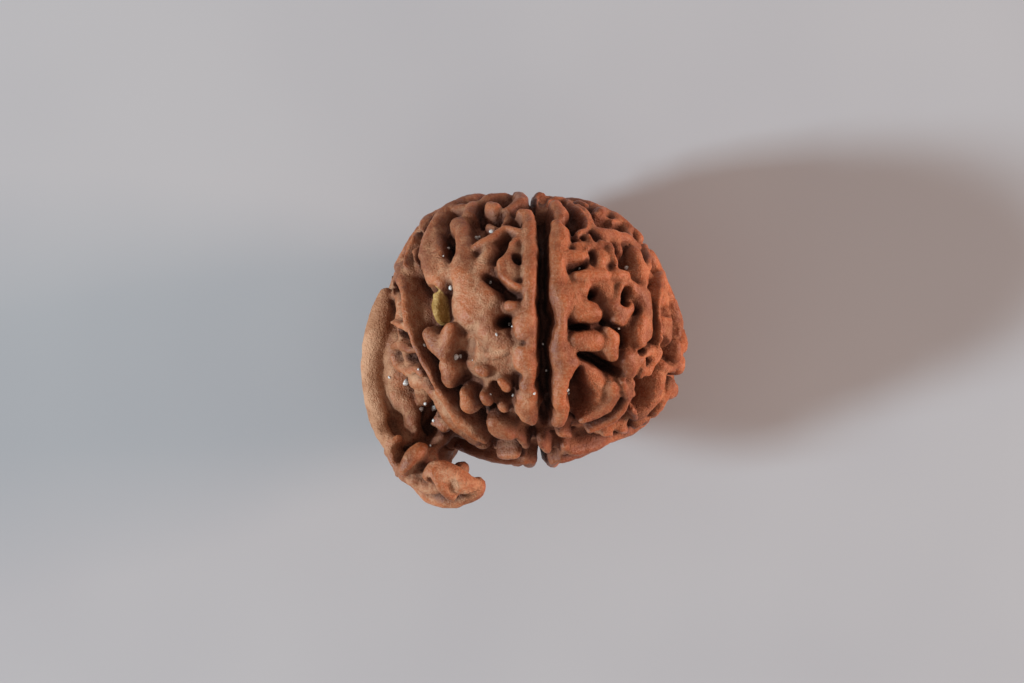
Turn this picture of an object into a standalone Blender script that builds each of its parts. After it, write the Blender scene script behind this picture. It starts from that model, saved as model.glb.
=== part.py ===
"""A rudraksha seed that grew with a trunk: one woody body, six faces parted by grooves from pole to pole,
each covered by a raised net of lobes and ridges with pits between them, and a trunk-like outgrowth that runs
down the left flank and curls free under it.

Run it with: blender --background --python part.py
Lengths are written in millimetres and scaled to metres once, at the end. +Z is up and the origin is the
middle of the small flat spot that the seed lies on.
"""

import math
import random

import bmesh
import bpy
import numpy as np
from mathutils import Matrix, Vector, noise
from mathutils.bvhtree import BVHTree

NODE = "rudraksha_seed"
MM = 0.001

# The smooth body under the net
HALF_WIDTH = 11.2
HALF_LENGTH = 9.95
HALF_HEIGHT = 10.1
CENTRE = Vector((0.6, 0.1, 10.7))

# Where its outline leaves the ellipse: (direction in degrees, millimetres outward, how narrow)
BULGES = [(128.0, 1.1, 12.0), (150.0, -0.1, 30.0), (23.0, -0.85, 22.0), (-60.0, -0.6, 24.0), (-32.0, 0.55, 30.0)]

# The seed lies on its side: its stalk pole points to the viewer's feet and a little up
POLE = Vector((0.068, -0.913, 0.402)).normalized()
FACES = 6
MIDDLE_GROOVE_DEG = -4.0
FACE_SWELL = 0.2

# Where the eye stands over the seed. The plan positions below are seen from it, on the level of the centre,
# and counted in plan steps from the centre: x to the right and y up
EYE = CENTRE + Vector((-1.8, -0.9, 300.0))
PLAN_STEP = 0.08

# The outgrowth and the rough wall that joins it to the seed down to the crook: plan position, height over the
# centre, half-thickness
TRUNK = [
    (-11.6, 3.2, 0.0, 1.2),
    (-12.6, 0.8, 0.0, 1.3),
    (-13.1, -1.8, 0.1, 1.25),
    (-13.1, -4.6, 0.3, 1.25),
    (-12.5, -7.0, 0.8, 1.3),
    (-11.3, -8.9, 1.6, 1.35),
    (-9.6, -10.4, 2.3, 1.4),
    (-7.9, -11.3, 2.9, 1.45),
    (-6.4, -11.8, 3.2, 1.4),
    (-5.3, -12.05, 3.4, 0.85),
    (-4.8, -12.15, 3.4, 0.5),
]
WALL = [
    (-10.4, 0.0, -0.6, 1.6),
    (-10.9, -2.8, -0.6, 1.7),
    (-10.4, -5.4, -0.4, 1.8),
    (-9.5, -7.4, 0.0, 1.8),
    (-8.4, -8.7, 0.4, 2.1),
    (-7.3, -9.3, 0.6, 1.9),
]
TUBE_DEPTH = 1.5

BODY_VOXEL = 0.3
BODY_SMOOTHING = 14
SKIN_VOXEL = 0.2
SKIN_SMOOTHING = 2
TRIANGLES = 11600

# How the relief is made: path step, how softly lobes melt together, the cross-section's exponent
PATH_STEP = 0.35
MELT = 9.0
GROUND_DROP = 0.65
SEEN_LEVEL = 0.75
LOBE_FOOT = 1.08
LOBE_EXPONENT = 2.6
PIT_MOUTH = 1.35
PIT_EXPONENT = 2.6
WOBBLE = 0.13

# Ridges of the photographed side: (height in millimetres, [(x, y, half-width), ...] in plan steps)
GROOVE_FLANKS = [
    (0.9, [(-27, 120, 5), (-15, 128, 7), (-4, 131, 7)]),
    (1.1, [(-14, 117, 6), (-7, 116, 7), (-5, 108, 9), (-5, 100, 10), (-5, 92, 10), (-5, 83, 9), (-5, 72, 8.5),
           (-4, 62, 8), (-4, 52, 8.5), (-4, 42, 9), (-5, 32, 8), (-5, 23, 8), (-6, 15, 11), (-8, 8, 14),
           (-8, 1, 14.5), (-6, -5, 12), (-2, -12, 7), (-3, -17, 5)]),
    (1.1, [(-3, -17, 5), (-9, -22, 12), (-9, -28, 14.5), (-8, -34, 14), (-6, -40, 11), (-4, -45, 10),
           (-7, -50, 10), (-7, -56, 9.5), (-2, -62, 6)]),
    (1.05, [(-2, -62, 6), (-5, -67, 10), (-8, -73, 14), (-7, -80, 14), (-6, -86, 11), (-1, -92, 5)]),
    (0.8, [(8, -76, 3), (8, -79, 3)]),
    (0.9, [(20, 132, 6), (28, 131, 5)]),
    (1.15, [(21, 124, 8), (25, 118, 10), (26, 111, 7)]),
    (1.2, [(22, 104, 7), (25, 97, 11), (24, 89, 12), (23, 81, 11), (23, 72, 9), (24, 64, 9), (24, 55, 10.5),
           (23, 46, 10), (25, 38, 12), (28, 30, 14), (29, 22, 10.5), (27, 14, 7.5), (26, 5, 7), (25, -3, 8.5),
           (24, -11, 10), (25, -19, 13), (28, -26, 15), (31, -34, 15), (30, -41, 12), (28, -48, 11),
           (26, -56, 10), (25, -64, 9), (24, -72, 8), (23, -77, 4)]),
    (1.0, [(31, -76, 6), (27, -84, 9), (24, -93, 9)]),
    (1.1, [(28, 72, 9), (38, 73, 9), (45, 73, 7.5)]),
    (1.05, [(33, 40, 10), (43, 41, 10), (51, 42, 8)]),
    (1.0, [(33, 28, 9), (40, 30, 8)]),
]
LEFT_FACE = [
    (1.05, [(-15, 92, 4), (-24, 85, 4), (-31, 76, 4), (-35, 66, 4.5), (-32, 55, 4.5), (-24, 46, 4), (-14, 42, 4)]),
    (0.7, [(-26, 68, 11), (-22, 56, 11)]),
    (1.0, [(-30, 103, 4), (-22, 101, 5), (-15, 98, 5)]),
    (0.9, [(-59, 83, 5), (-50, 88, 6), (-40, 94, 6), (-31, 101, 5)]),
    (0.6, [(-51, 74, 10), (-45, 82, 9)]),
    (0.55, [(-57, 68, 10), (-47, 62, 8)]),
    (1.0, [(-76, 108, 11), (-73, 98, 9), (-71, 88, 9), (-72, 76, 12), (-74, 64, 15), (-72, 52, 14)]),
    (1.0, [(-104, 111, 5), (-108, 101, 5), (-110, 90, 7), (-109, 78, 11), (-106, 66, 13), (-101, 56, 13),
           (-94, 49, 9)]),
    (0.35, [(-97, 110, 8), (-95, 100, 6)]),
    (0.65, [(-93, 66, 8), (-88, 56, 9)]),
    (0.8, [(-70, 44, 15), (-69, 30, 19), (-68, 18, 17)]),
    (0.62, [(-56, 56, 15), (-53, 36, 18), (-53, 18, 18), (-50, 4, 15)]),
    (0.45, [(-46, 0, 14), (-38, -12, 13), (-30, -16, 10)]),
    (0.0, [(-66, -16, 14), (-58, -34, 18), (-34, -36, 16), (-40, -60, 16)]),
    (1.2, [(-105, -5, 9), (-101, -12, 11), (-94, -20, 9), (-89, -28, 5)]),
    (1.2, [(-84, 2, 6), (-87, -6, 9.5), (-89, -15, 9), (-91, -22, 8)]),
    (1.1, [(-89, -36, 9), (-86, -44, 11), (-86, -52, 9)]),
    (0.7, [(-57, -39, 6), (-51, -42, 7)]),
    (1.2, [(-71, -61, 5), (-68, -69, 9), (-66, -76, 12)]),
    (1.05, [(-51, -66, 5), (-48, -71, 6.5)]),
    (1.0, [(-33, -52, 5), (-28, -58, 6.5)]),
    (0.6, [(-35, -77, 5), (-31, -81, 6)]),
    (1.1, [(-41, -94, 9), (-36, -101, 13), (-26, -105, 8)]),
    (0.35, [(-50, -25, 4), (-40, -27, 5), (-28, -23, 4)]),
    (0.9, [(-82, 122, 6), (-73, 124, 7)]),
    (0.7, [(-61, 128, 6), (-51, 129, 5)]),
    (0.5, [(-47, 108, 6), (-40, 105, 5)]),
    (0.5, [(-27, 116, 6), (-33, 108, 4)]),
]
LEFT_RIM = [
    (0.75, [(-104, -64, 7), (-97, -76, 9), (-88, -90, 11), (-76, -102, 12), (-62, -112, 10)]),
    (0.2, [(-92, -108, 12), (-76, -114, 12), (-58, -118, 10)]),
    (0.2, [(-142, 34, 9), (-141, 12, 11), (-137, -12, 13), (-130, -34, 14), (-122, -54, 14), (-118, -74, 10)]),
    (0.8, [(-117, 112, 4), (-108, 118, 4.5), (-97, 123, 4.5), (-85, 127, 4)]),
    (0.95, [(-118, 108, 4), (-124, 97, 5), (-128, 87, 5.5), (-133, 76, 6), (-136, 64, 7), (-134, 51, 7),
            (-131, 40, 5)]),
    (1.0, [(-131, 40, 5), (-130, 30, 5), (-129, 20, 4.5), (-128, 10, 4.5), (-125, 0, 4), (-121, -10, 3.5),
           (-117, -20, 3), (-112, -30, 3), (-106, -40, 3.5), (-101, -50, 4), (-96, -60, 4), (-89, -70, 4),
           (-83, -80, 4), (-78, -90, 4), (-72, -97, 4), (-62, -104, 4), (-50, -112, 3.5)]),
]
RIGHT_FACE = [
    (0.05, [(56, 90, 12), (62, 80, 14), (70, 66, 14)]),
    (0.1, [(48, 48, 14), (66, 48, 16), (80, 46, 12)]),
    (0.25, [(72, 38, 12), (75, 26, 13)]),
    (-0.1, [(48, 17, 12), (60, 14, 12), (60, -6, 14), (74, -14, 14), (78, -24, 10)]),
    (0.3, [(104, 34, 12), (107, 12, 13), (104, -10, 13), (98, -32, 13)]),
    (0.15, [(102, 66, 12), (105, 52, 12)]),
    (0.85, [(32, 130, 3), (40, 122, 3), (48, 116, 3), (52, 108, 3.5), (50, 100, 4), (43, 94, 4)]),
    (0.8, [(44, 124, 3), (53, 117, 3.5), (58, 106, 4), (61, 97, 4)]),
    (0.85, [(41, 85, 6), (48, 85, 7)]),
    (1.0, [(53, 92, 3), (57, 86, 3.5), (54, 79, 3)]),
    (0.95, [(63, 80, 8), (68, 73, 10), (65, 68, 9)]),
    (1.1, [(65, 86, 4), (73, 83, 5), (76, 73, 4.5), (79, 66, 4)]),
    (0.8, [(66, 94, 6), (71, 91, 7)]),
    (0.9, [(64, 99, 3), (77, 97, 3.5), (87, 94, 4), (95, 92, 5)]),
    (0.5, [(84, 90, 6), (87, 83, 6)]),
    (0.8, [(77, 110, 4), (87, 109, 5), (94, 101, 5), (97, 90, 5), (105, 85, 5)]),
    (0.7, [(62, 117, 5), (73, 113, 4)]),
    (1.0, [(42, 54, 7), (55, 54, 10), (68, 56, 9)]),
    (1.0, [(81, 55, 8), (89, 54, 8)]),
    (0.9, [(91, 49, 5), (85, 40, 4), (82, 31, 4)]),
    (0.55, [(71, 40, 9), (75, 32, 9)]),
    (1.0, [(78, 24, 10), (86, 18, 13), (94, 22, 8)]),
    (1.0, [(84, 10, 9)]),
    (1.05, [(45, 18, 11), (52, 19, 12.5), (58, 17, 11.5)]),
    (1.0, [(41, -11, 10), (51, -11, 11.5), (61, -12, 10)]),
    (0.95, [(74, 0, 6), (77, -8, 9), (77, -18, 9), (79, -25, 7)]),
    (1.0, [(109, 10, 8), (108, -2, 12), (107, -13, 10)]),
    (0.6, [(107, 30, 8), (110, 20, 7)]),
    (0.5, [(105, 68, 8), (105, 55, 7)]),
    (0.8, [(102, 42, 4), (109, 40, 5), (115, 36, 4)]),
    (0.9, [(111, 84, 4), (115, 74, 3.5), (114, 62, 3.5), (112, 51, 3.5), (109, 43, 4)]),
    (0.95, [(94, -27, 8), (99, -34, 13), (97, -41, 10)]),
    (0.8, [(112, -24, 6), (120, -21, 7)]),
    (1.0, [(102, -23, 3.5), (108, -30, 4), (110, -39, 4), (106, -46, 4)]),
    (0.3, [(52, -38, 8), (56, -47, 11), (64, -52, 10)]),
    (0.85, [(80, -57, 8), (81, -68, 9), (75, -78, 10), (63, -86, 8), (48, -91, 5)]),
    (0.35, [(66, -60, 12), (66, -72, 12)]),
]
RIGHT_RIM = [
    (1.0, [(120, 78, 4), (124, 67, 4), (127, 54, 4.5), (126, 40, 5), (124, 27, 4), (125, 12, 3), (126, -3, 3),
           (127, -16, 4), (124, -26, 4), (118, -34, 5), (114, -43, 6), (111, -49, 5)]),
    (1.0, [(86, -52, 4), (92, -60, 5), (93, -69, 5), (88, -79, 5.5), (79, -89, 5), (67, -96, 5), (55, -100, 4)]),
    (0.9, [(97, -54, 5), (99, -64, 4)]),
]
OUTER_LUMPS = [
    (0.3, [(134, 40, 12), (138, 15, 13), (137, -8, 12)]),
    (0.25, [(130, -50, 12), (124, -70, 12), (110, -88, 12)]),
    (0.3, [(90, -98, 12), (72, -106, 12)]),
    (0.2, [(66, -120, 12), (46, -122, 12), (20, -124, 10)]),
    (0.2, [(122, 60, 10), (112, 76, 10), (98, 92, 10)]),
    (0.8, [(135, 55, 5), (140, 40, 5), (145, 25, 5), (147, 10, 6), (146, -5, 6)]),
    (0.6, [(133, 10, 6), (132, -2, 6)]),
    (0.85, [(144, -15, 6), (143, -28, 5)]),
    (0.7, [(132, -37, 6), (140, -40, 5)]),
    (0.85, [(138, -52, 5), (133, -64, 6.5), (127, -76, 6.5), (120, -85, 5)]),
    (0.8, [(110, -91, 5), (101, -96, 6)]),
    (0.8, [(99, -80, 4), (101, -88, 5)]),
    (0.8, [(87, -100, 6), (93, -102, 4)]),
    (0.8, [(77, -104, 4), (70, -106, 4)]),
    (0.85, [(62, -116, 6), (55, -125, 6)]),
    (0.85, [(31, -120, 6), (29, -129, 7)]),
    (0.8, [(6, -114, 5), (13, -123, 6)]),
    (0.7, [(25, -106, 5), (35, -107, 4)]),
    (0.8, [(-10, -118, 6), (-15, -110, 5)]),
    (0.4, [(-37, -126, 8), (-35, -133, 8)]),
    (0.7, [(-50, -120, 5), (-57, -117, 5)]),
    (0.7, [(-21, -130, 5), (-11, -128, 5)]),
]
TRUNK_LUMPS = [
    (0.9, [(-142, 8, 3), (-135, 5, 4), (-128, 1, 3.5)]),
    (0.8, [(-142, -16, 4.5), (-135, -15, 6), (-127, -19, 5), (-119, -22, 3)]),
    (0.8, [(-141, -26, 4.5), (-138, -36, 5), (-130, -42, 6), (-121, -40, 5), (-114, -44, 5)]),
    (0.7, [(-127, -54, 7), (-115, -56, 8), (-107, -63, 6)]),
    (0.6, [(-143, -64, 5), (-135, -70, 7), (-125, -68, 8), (-121, -80, 6), (-124, -92, 5)]),
    (0.1, [(-147, 45, 8), (-155, 25, 11), (-160, 5, 13), (-162, -15, 14), (-162, -40, 14), (-160, -65, 14),
           (-156, -88, 13), (-150, -110, 11)]),
    (0.0, [(-148, 20, 10), (-148, -10, 14), (-144, -40, 15), (-140, -66, 14)]),
    (0.0, [(-116, -98, 12), (-102, -110, 13), (-88, -116, 11)]),
    (0.65, [(-136, -107, 5), (-146, -113, 6), (-148, -123, 7), (-143, -133, 5), (-137, -140, 4)]),
    (0.9, [(-114, -117, 6), (-120, -122, 7), (-126, -131, 7), (-131, -140, 6)]),
    (0.6, [(-103, -142, 12), (-93, -146, 16), (-80, -151, 16), (-66, -154, 12), (-55, -155, 7)]),
    (0.8, [(-102, -140, 3.5), (-98, -152, 4), (-92, -162, 4), (-82, -170, 4)]),
    (0.85, [(-80, -138, 5), (-69, -146, 6)]),
]

# Pits and grooves of the photographed side: (depth in millimetres, [(x, y, half-width), ...] in plan steps)
GROOVES = [
    (1.0, [(8, 134, 4), (8, 112, 5), (9, 100, 5), (9, 85, 3.5), (9, 65, 5), (8, 30, 5.5), (13, 10, 7), (10, -10, 6),
           (8, -17, 5), (10, -35, 5.5), (9, -55, 7), (12, -75, 5), (10, -90, 5), (12, -107, 4)]),
    (0.9, [(-114, 102, 3), (-118, 90, 3), (-124, 78, 3.5), (-126, 66, 3.5), (-125, 54, 4), (-121, 44, 5)]),
    (0.9, [(-120, 38, 6), (-116, 27, 8), (-115, 15, 8), (-117, 3, 6), (-118, -6, 3.5)]),
    (0.9, [(-117, -10, 2.5), (-111, -21, 2.5), (-105, -30, 3), (-100, -40, 4), (-97, -50, 4.5), (-91, -60, 5),
           (-83, -68, 4.5), (-78, -78, 4), (-71, -89, 4.5), (-60, -97, 5), (-53, -103, 4)]),
    (0.6, [(121, 30, 2), (121, 12, 2), (122, -5, 2), (118, -14, 2)]),
    (0.7, [(81, -51, 2), (87, -61, 2), (88, -70, 2), (82, -79, 2), (73, -88, 2), (60, -93, 2), (47, -97, 2.5)]),
]
PITS = [
    (2.0, [(-88, 94, 5.5), (-86, 86, 6.5), (-87, 79, 5.5)]),
    (1.1, [(-114, 44, 3), (-107, 41, 3.5), (-101, 41, 3)]),
    (1.5, [(-50, 54, 4), (-42, 49, 6), (-32, 43, 4.5)]),
    (1.8, [(-35, 8, 4.7), (-31, 8, 4.7)]),
    (1.3, [(-20, 75, 3.5), (-17, 69, 4)]),
    (0.4, [(-19, 53, 6)]),
    (1.0, [(-27, 90, 3), (-32, 81, 4), (-36, 73, 3)]),
    (0.45, [(-24, 26, 7), (-19, 24, 7)]),
    (0.8, [(-18, 106, 2.5), (-14, 106, 2)]),
    (0.7, [(-59, 92, 3), (-49, 96, 5), (-40, 102, 4)]),
    (0.9, [(-54, 117, 3.5)]),
    (0.6, [(-82, 117, 4)]),
    (0.5, [(-69, -15, 6), (-71, -26, 6), (-77, -30, 4)]),
    (0.9, [(-41, -60, 5), (-35, -66, 6), (-24, -69, 5)]),
    (0.9, [(-60, -89, 5), (-52, -85, 5), (-43, -80, 4)]),
    (0.7, [(-14, -98, 3.5), (-7, -103, 4)]),
    (0.9, [(-4, -113, 3.5)]),
    (0.7, [(-15, -47, 3)]),
    (0.5, [(-11, -13, 3.5)]),
    (1.2, [(38, 111, 7), (42, 105, 7)]),
    (0.8, [(73, 103, 5), (83, 102, 5)]),
    (1.2, [(84, 73, 6), (92, 72, 7)]),
    (0.6, [(57, 77, 3), (59, 68, 3.5)]),
    (1.2, [(39, 61, 2.5), (48, 63, 3.5), (54, 68, 2.5)]),
    (1.6, [(58, 38, 4.5), (62, 39, 3.5)]),
    (1.6, [(92, 39, 4), (90, 33, 5), (89, 28, 4.5)]),
    (1.6, [(40, 5, 3), (48, 3, 3.6), (55, 3, 3)]),
    (0.7, [(37, 18, 2), (36, 10, 2.5)]),
    (1.3, [(71, 9, 2.5), (77, 4, 3), (84, 1, 3)]),
    (1.6, [(88, -1, 4), (91, -8, 5), (91, -14, 4.5)]),
    (1.3, [(101, 20, 3.5), (105, 20, 3)]),
    (0.9, [(117, 56, 3), (116, 46, 4)]),
    (1.0, [(105, -22, 3), (110, -20, 3.5)]),
    (1.1, [(131, -15, 7), (135, -21, 6)]),
    (0.9, [(132, 22, 5), (138, 20, 5)]),
    (1.7, [(47, -25, 4), (60, -31, 5.5), (73, -38, 7), (86, -44, 6)]),
    (1.3, [(45, -44, 5), (43, -54, 7), (45, -64, 8)]),
    (0.9, [(44, -62, 8), (48, -70, 10), (46, -80, 7)]),
    (1.6, [(112, -54, 7), (113, -66, 10), (110, -78, 8)]),
    (0.7, [(119, -48, 5), (120, -58, 6)]),
    (0.4, [(14, -107, 3)]),
    (0.8, [(38, -97, 3.5), (45, -100, 3)]),
    (0.6, [(42, -114, 4)]),
    (0.5, [(19, -117, 3)]),
    (0.5, [(91, -91, 5)]),
    (1.1, [(-139, 0, 3.5), (-134, -4, 4.5)]),
    (1.2, [(-131, -28, 3), (-125, -30, 3.5), (-119, -28, 2.5)]),
    (0.35, [(-151, -5, 4), (-150, -22, 5), (-147, -42, 6), (-145, -62, 7)]),
    (1.1, [(-138, -86, 5), (-136, -93, 6.5)]),
    (1.4, [(-107, -85, 6), (-105, -95, 8), (-110, -105, 7)]),
    (0.9, [(-123, -107, 4), (-100, -110, 5)]),
    (0.35, [(-151, -94, 5)]),
    (0.7, [(-136, -116, 4), (-137, -128, 3.5)]),
    (0.75, [(-108, -126, 4), (-117, -137, 4), (-125, -145, 3)]),
    (0.6, [(-106, -148, 2), (-104, -156, 3)]),
    (0.3, [(-83, -156, 4)]),
]
# A dry yellow flake of pulp that stayed beside the pit left of the plateau
FLAKE = (0.6, [(-97, 37, 6), (-98, 27, 7), (-97, 17, 6.5), (-95, 11, 4.5)])

# The net on the sides that the photograph doesn't show, drawn by one seeded rule
SEED = 11
NET_SPACING = 1.8
NET_WIDTH = (0.5, 0.8)
NET_HEIGHT = (0.75, 1.1)
NET_LENGTH = (0.7, 1.9)
NET_TRUNK_SHARE = 0.5
TRUNK_BARE_BELOW = 2.5
SHOWN_HALF_WIDTH = 10.2
SHOWN_HALF_LENGTH = 9.4
CLEAR_OF_DRAWN = 0.6
CLEAR_OF_GROOVE = 1.35
FLANK_OFFSET = 0.9
FLANK_STEP_DEG = 7.0
FLANK_LATITUDES = {-1: (-82, -22), 0: (-82, -46), 1: (-82, -32), 2: (-82, 78), 3: (-82, 78), 4: (-82, 78)}

SEAT_RADIUS = 2.0
SEAT_FADE = 1.0
SEAT_HEIGHT = 0.9
SEAT_CLEARANCE = 0.15
SEAT_SNAP = 0.05
SHORTEST_EDGE = 0.01


def make_object(name, data):
    made = bpy.data.objects.new(name, data)
    bpy.context.scene.collection.objects.link(made)
    return made


def applied(obj):
    """Replaces the object's mesh by the one its modifiers give."""
    graph = bpy.context.evaluated_depsgraph_get()
    mesh = bpy.data.meshes.new_from_object(obj.evaluated_get(graph), depsgraph=graph)
    obj.modifiers.clear()
    obj.data = mesh
    return obj


def add_remesh(obj, voxel):
    remesh = obj.modifiers.new("Remesh", "REMESH")
    remesh.mode = "VOXEL"
    remesh.voxel_size = voxel


def make_core():
    """The ellipsoid under the net, with the bulges and flats of its outline."""
    bpy.ops.mesh.primitive_uv_sphere_add(segments=96, ring_count=48, radius=1.0)
    core = bpy.context.object
    for vertex in core.data.vertices:
        push = 0.0
        for degrees, amount, narrowness in BULGES:
            toward = Vector((math.cos(math.radians(degrees)), math.sin(math.radians(degrees)), 0.0))
            push += amount * max(0.0, vertex.co.dot(toward)) ** narrowness
        vertex.co = Vector((vertex.co.x * (HALF_WIDTH + push), vertex.co.y * (HALF_LENGTH + push),
                            vertex.co.z * HALF_HEIGHT)) + CENTRE
    return core


def make_tube(stations):
    """A tapered tube through the stations, deeper than it is wide."""
    curve = bpy.data.curves.new("tube", "CURVE")
    curve.dimensions = "3D"
    curve.bevel_depth = 1.0
    curve.bevel_resolution = 5
    curve.use_fill_caps = True
    curve.resolution_u = 6
    spline = curve.splines.new("NURBS")
    spline.points.add(len(stations) - 1)
    spline.use_endpoint_u = True
    spline.order_u = 3
    for point, (x, y, height, thickness) in zip(spline.points, stations):
        point.co = (x, y, height / TUBE_DEPTH, 1.0)
        point.radius = thickness
    tube = make_object("tube", curve)
    tube.scale.z = TUBE_DEPTH
    tube.location = CENTRE
    bpy.context.view_layer.update()
    graph = bpy.context.evaluated_depsgraph_get()
    mesh = bpy.data.meshes.new_from_object(tube.evaluated_get(graph))
    mesh.transform(tube.matrix_world)
    bpy.data.objects.remove(tube)
    return mesh


def make_body():
    """The core, the trunk and the wall between them as one smooth skin."""
    body = make_core()
    joined = bmesh.new()
    joined.from_mesh(body.data)
    for stations in (TRUNK, WALL):
        joined.from_mesh(make_tube(stations))
    joined.to_mesh(body.data)
    joined.free()
    add_remesh(body, BODY_VOXEL)
    smooth = body.modifiers.new("Smooth", "SMOOTH")
    smooth.iterations = BODY_SMOOTHING
    return applied(body)


def arrays(mesh):
    points = np.empty(len(mesh.vertices) * 3)
    mesh.vertices.foreach_get("co", points)
    normals = np.empty(len(mesh.vertices) * 3)
    mesh.vertex_normals.foreach_get("vector", normals)
    return points.reshape(-1, 3), normals.reshape(-1, 3)


class Skin:
    """The smooth body's surface, on which paths are laid."""

    def __init__(self, body):
        self.points, self.normals = arrays(body.data)
        faces = [tuple(p.vertices) for p in body.data.polygons]
        self.tree = BVHTree.FromPolygons(self.points.tolist(), faces)
        self.seen = BVHTree.FromPolygons((self.points + self.normals * SEEN_LEVEL).tolist(), faces)

    def under_plan(self, x, y):
        """The point of the skin below what the eye sees at this plan position, or the nearest past the outline."""
        target = CENTRE + Vector((x, y, 0.0))
        found = self.seen.ray_cast(EYE, (target - EYE).normalized())[0]
        return self.nearest(found or target)

    def toward(self, direction):
        """The point of the skin in this direction from the centre, met from outside."""
        return self.tree.ray_cast(CENTRE + direction * 40.0, -direction)[0]

    def nearest(self, point):
        return self.tree.find_nearest(point)[0]

    def path(self, plan):
        """A plan path as points on the skin about every PATH_STEP, with their half-widths."""
        plan = [(x * PLAN_STEP, y * PLAN_STEP, w * PLAN_STEP) for x, y, w in plan]
        laid = []
        for (x0, y0, w0), (x1, y1, w1) in zip(plan, plan[1:] or plan):
            steps = max(1, round(math.hypot(x1 - x0, y1 - y0) / PATH_STEP))
            for step in range(steps):
                t = step / steps
                laid.append((self.under_plan(x0 + (x1 - x0) * t, y0 + (y1 - y0) * t), w0 + (w1 - w0) * t))
        x, y, w = plan[-1]
        laid.append((self.under_plan(x, y), w))
        return laid


def pole_frame():
    """Unit vectors across the pole: longitude 0 faces up, 90 faces left."""
    up = (Vector((0.0, 0.0, 1.0)) - POLE * POLE.z).normalized()
    return up, POLE.cross(up)


def at_longitude(longitude, latitude):
    up, left = pole_frame()
    lon, lat = math.radians(longitude), math.radians(latitude)
    return (POLE * math.sin(lat) + (up * math.cos(lon) + left * math.sin(lon)) * math.cos(lat)).normalized()


def groove_distance(points):
    """How far each point is from the plane half of the nearest groove, in millimetres."""
    up, left = (np.array(v) for v in pole_frame())
    away = points - np.array(CENTRE)
    across, along = away @ up, away @ left
    longitude = np.degrees(np.arctan2(along, across)) - MIDDLE_GROOVE_DEG
    spacing = 360.0 / FACES
    offset = (longitude + spacing / 2) % spacing - spacing / 2
    return np.hypot(across, along) * np.abs(np.sin(np.radians(offset)))


def hidden_flanks(skin, draw):
    """The paired ridges beside each groove, and the groove, past where the plan gives them."""
    ridges, grooves = [], []
    for number, (low, high) in FLANK_LATITUDES.items():
        longitude = MIDDLE_GROOVE_DEG - number * 360.0 / FACES
        count = round((high - low) / FLANK_STEP_DEG)
        latitudes = [low + (high - low) * i / count for i in range(count + 1)]
        grooves.append((0.8, [(skin.toward(at_longitude(longitude, lat)), 0.3) for lat in latitudes]))
        for side in (-1, 1):
            ridge = []
            for lat in latitudes:
                swing = FLANK_OFFSET * draw.uniform(0.9, 1.15)
                turn = math.degrees(swing / (HALF_WIDTH * max(0.2, math.cos(math.radians(lat)))))
                width = draw.uniform(0.52, 0.85) * min(1.0, 0.4 + math.cos(math.radians(lat)))
                ridge.append((skin.toward(at_longitude(longitude + side * turn, lat)), width))
            ridges.append((1.1, ridge))
    return ridges, grooves


def net_sites(skin, draw, drawn):
    """Evenly spread points of the hidden skin, clear of the drawn paths and of the grooves."""
    order = list(range(len(skin.points)))
    draw.shuffle(order)
    across, along, level = (skin.points - np.array(CENTRE)).T
    shown = (level > 0.0) & ((across / SHOWN_HALF_WIDTH) ** 2 + (along / SHOWN_HALF_LENGTH) ** 2 < 1.0)
    trunk = (across < -HALF_WIDTH) & (level > -TRUNK_BARE_BELOW)
    free = ~shown & ~trunk & (groove_distance(skin.points) > CLEAR_OF_GROOVE)
    for _, path in drawn:
        for point, width in path:
            near = np.linalg.norm(skin.points - np.array(point), axis=1) < width + CLEAR_OF_DRAWN
            free[near] = False
    sites = np.empty((0, 3))
    for index in order:
        if not free[index]:
            continue
        point = skin.points[index]
        if len(sites) == 0 or np.linalg.norm(sites - point, axis=1).min() > NET_SPACING:
            sites = np.vstack([sites, point])
    return sites


def hidden_net(skin, draw, drawn):
    """A short lobe at each site, turned at random, so that neighbours meet and pits stay between them."""
    lobes = []
    for site in net_sites(skin, draw, drawn):
        start = Vector(site)
        heading = Vector([draw.gauss(0.0, 1.0) for _ in range(3)])
        outward = (start - CENTRE).normalized()
        heading = (heading - outward * heading.dot(outward)).normalized()
        length = draw.uniform(*NET_LENGTH)
        width = draw.uniform(*NET_WIDTH)
        height = draw.uniform(*NET_HEIGHT)
        if start.x < CENTRE.x - HALF_WIDTH or start.y < CENTRE.y - HALF_LENGTH - 0.6:
            height *= NET_TRUNK_SHARE
        steps = 3
        path = [(skin.nearest(start + heading * length * (i / steps - 0.5)), width * draw.uniform(0.8, 1.15))
                for i in range(steps + 1)]
        lobes.append((height, path))
    return lobes


def raised(points, path, exponent):
    """The share of its full height that a path gives at each of the points near it, and which those are."""
    centres = np.array([p for p, _ in path])
    widths = np.array([w for _, w in path])
    reach = widths.max()
    low, high = centres.min(0) - reach, centres.max(0) + reach
    near = np.flatnonzero(((points > low) & (points < high)).all(axis=1))
    share = np.zeros(len(near))
    where = points[near]
    pairs = zip(centres, centres[1:], widths, widths[1:]) if len(path) > 1 else [(centres[0], centres[0], reach, reach)]
    for start, end, w0, w1 in pairs:
        run = end - start
        t = np.clip((where - start) @ run / max(run @ run, 1e-9), 0.0, 1.0)
        off = np.linalg.norm(where - start - t[:, None] * run, axis=1) / (w0 + (w1 - w0) * t)
        share = np.maximum(share, np.clip(1.0 - off ** exponent, 0.0, 1.0))
    return near, share


def wobbled(points):
    """The points shifted a little, so that the lobes' edges come out uneven."""
    shift = np.array([noise.noise_vector(Vector(p) * 0.9) + noise.noise_vector(Vector(p) * 2.1) * 0.5 for p in points])
    return points + WOBBLE * shift


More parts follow.
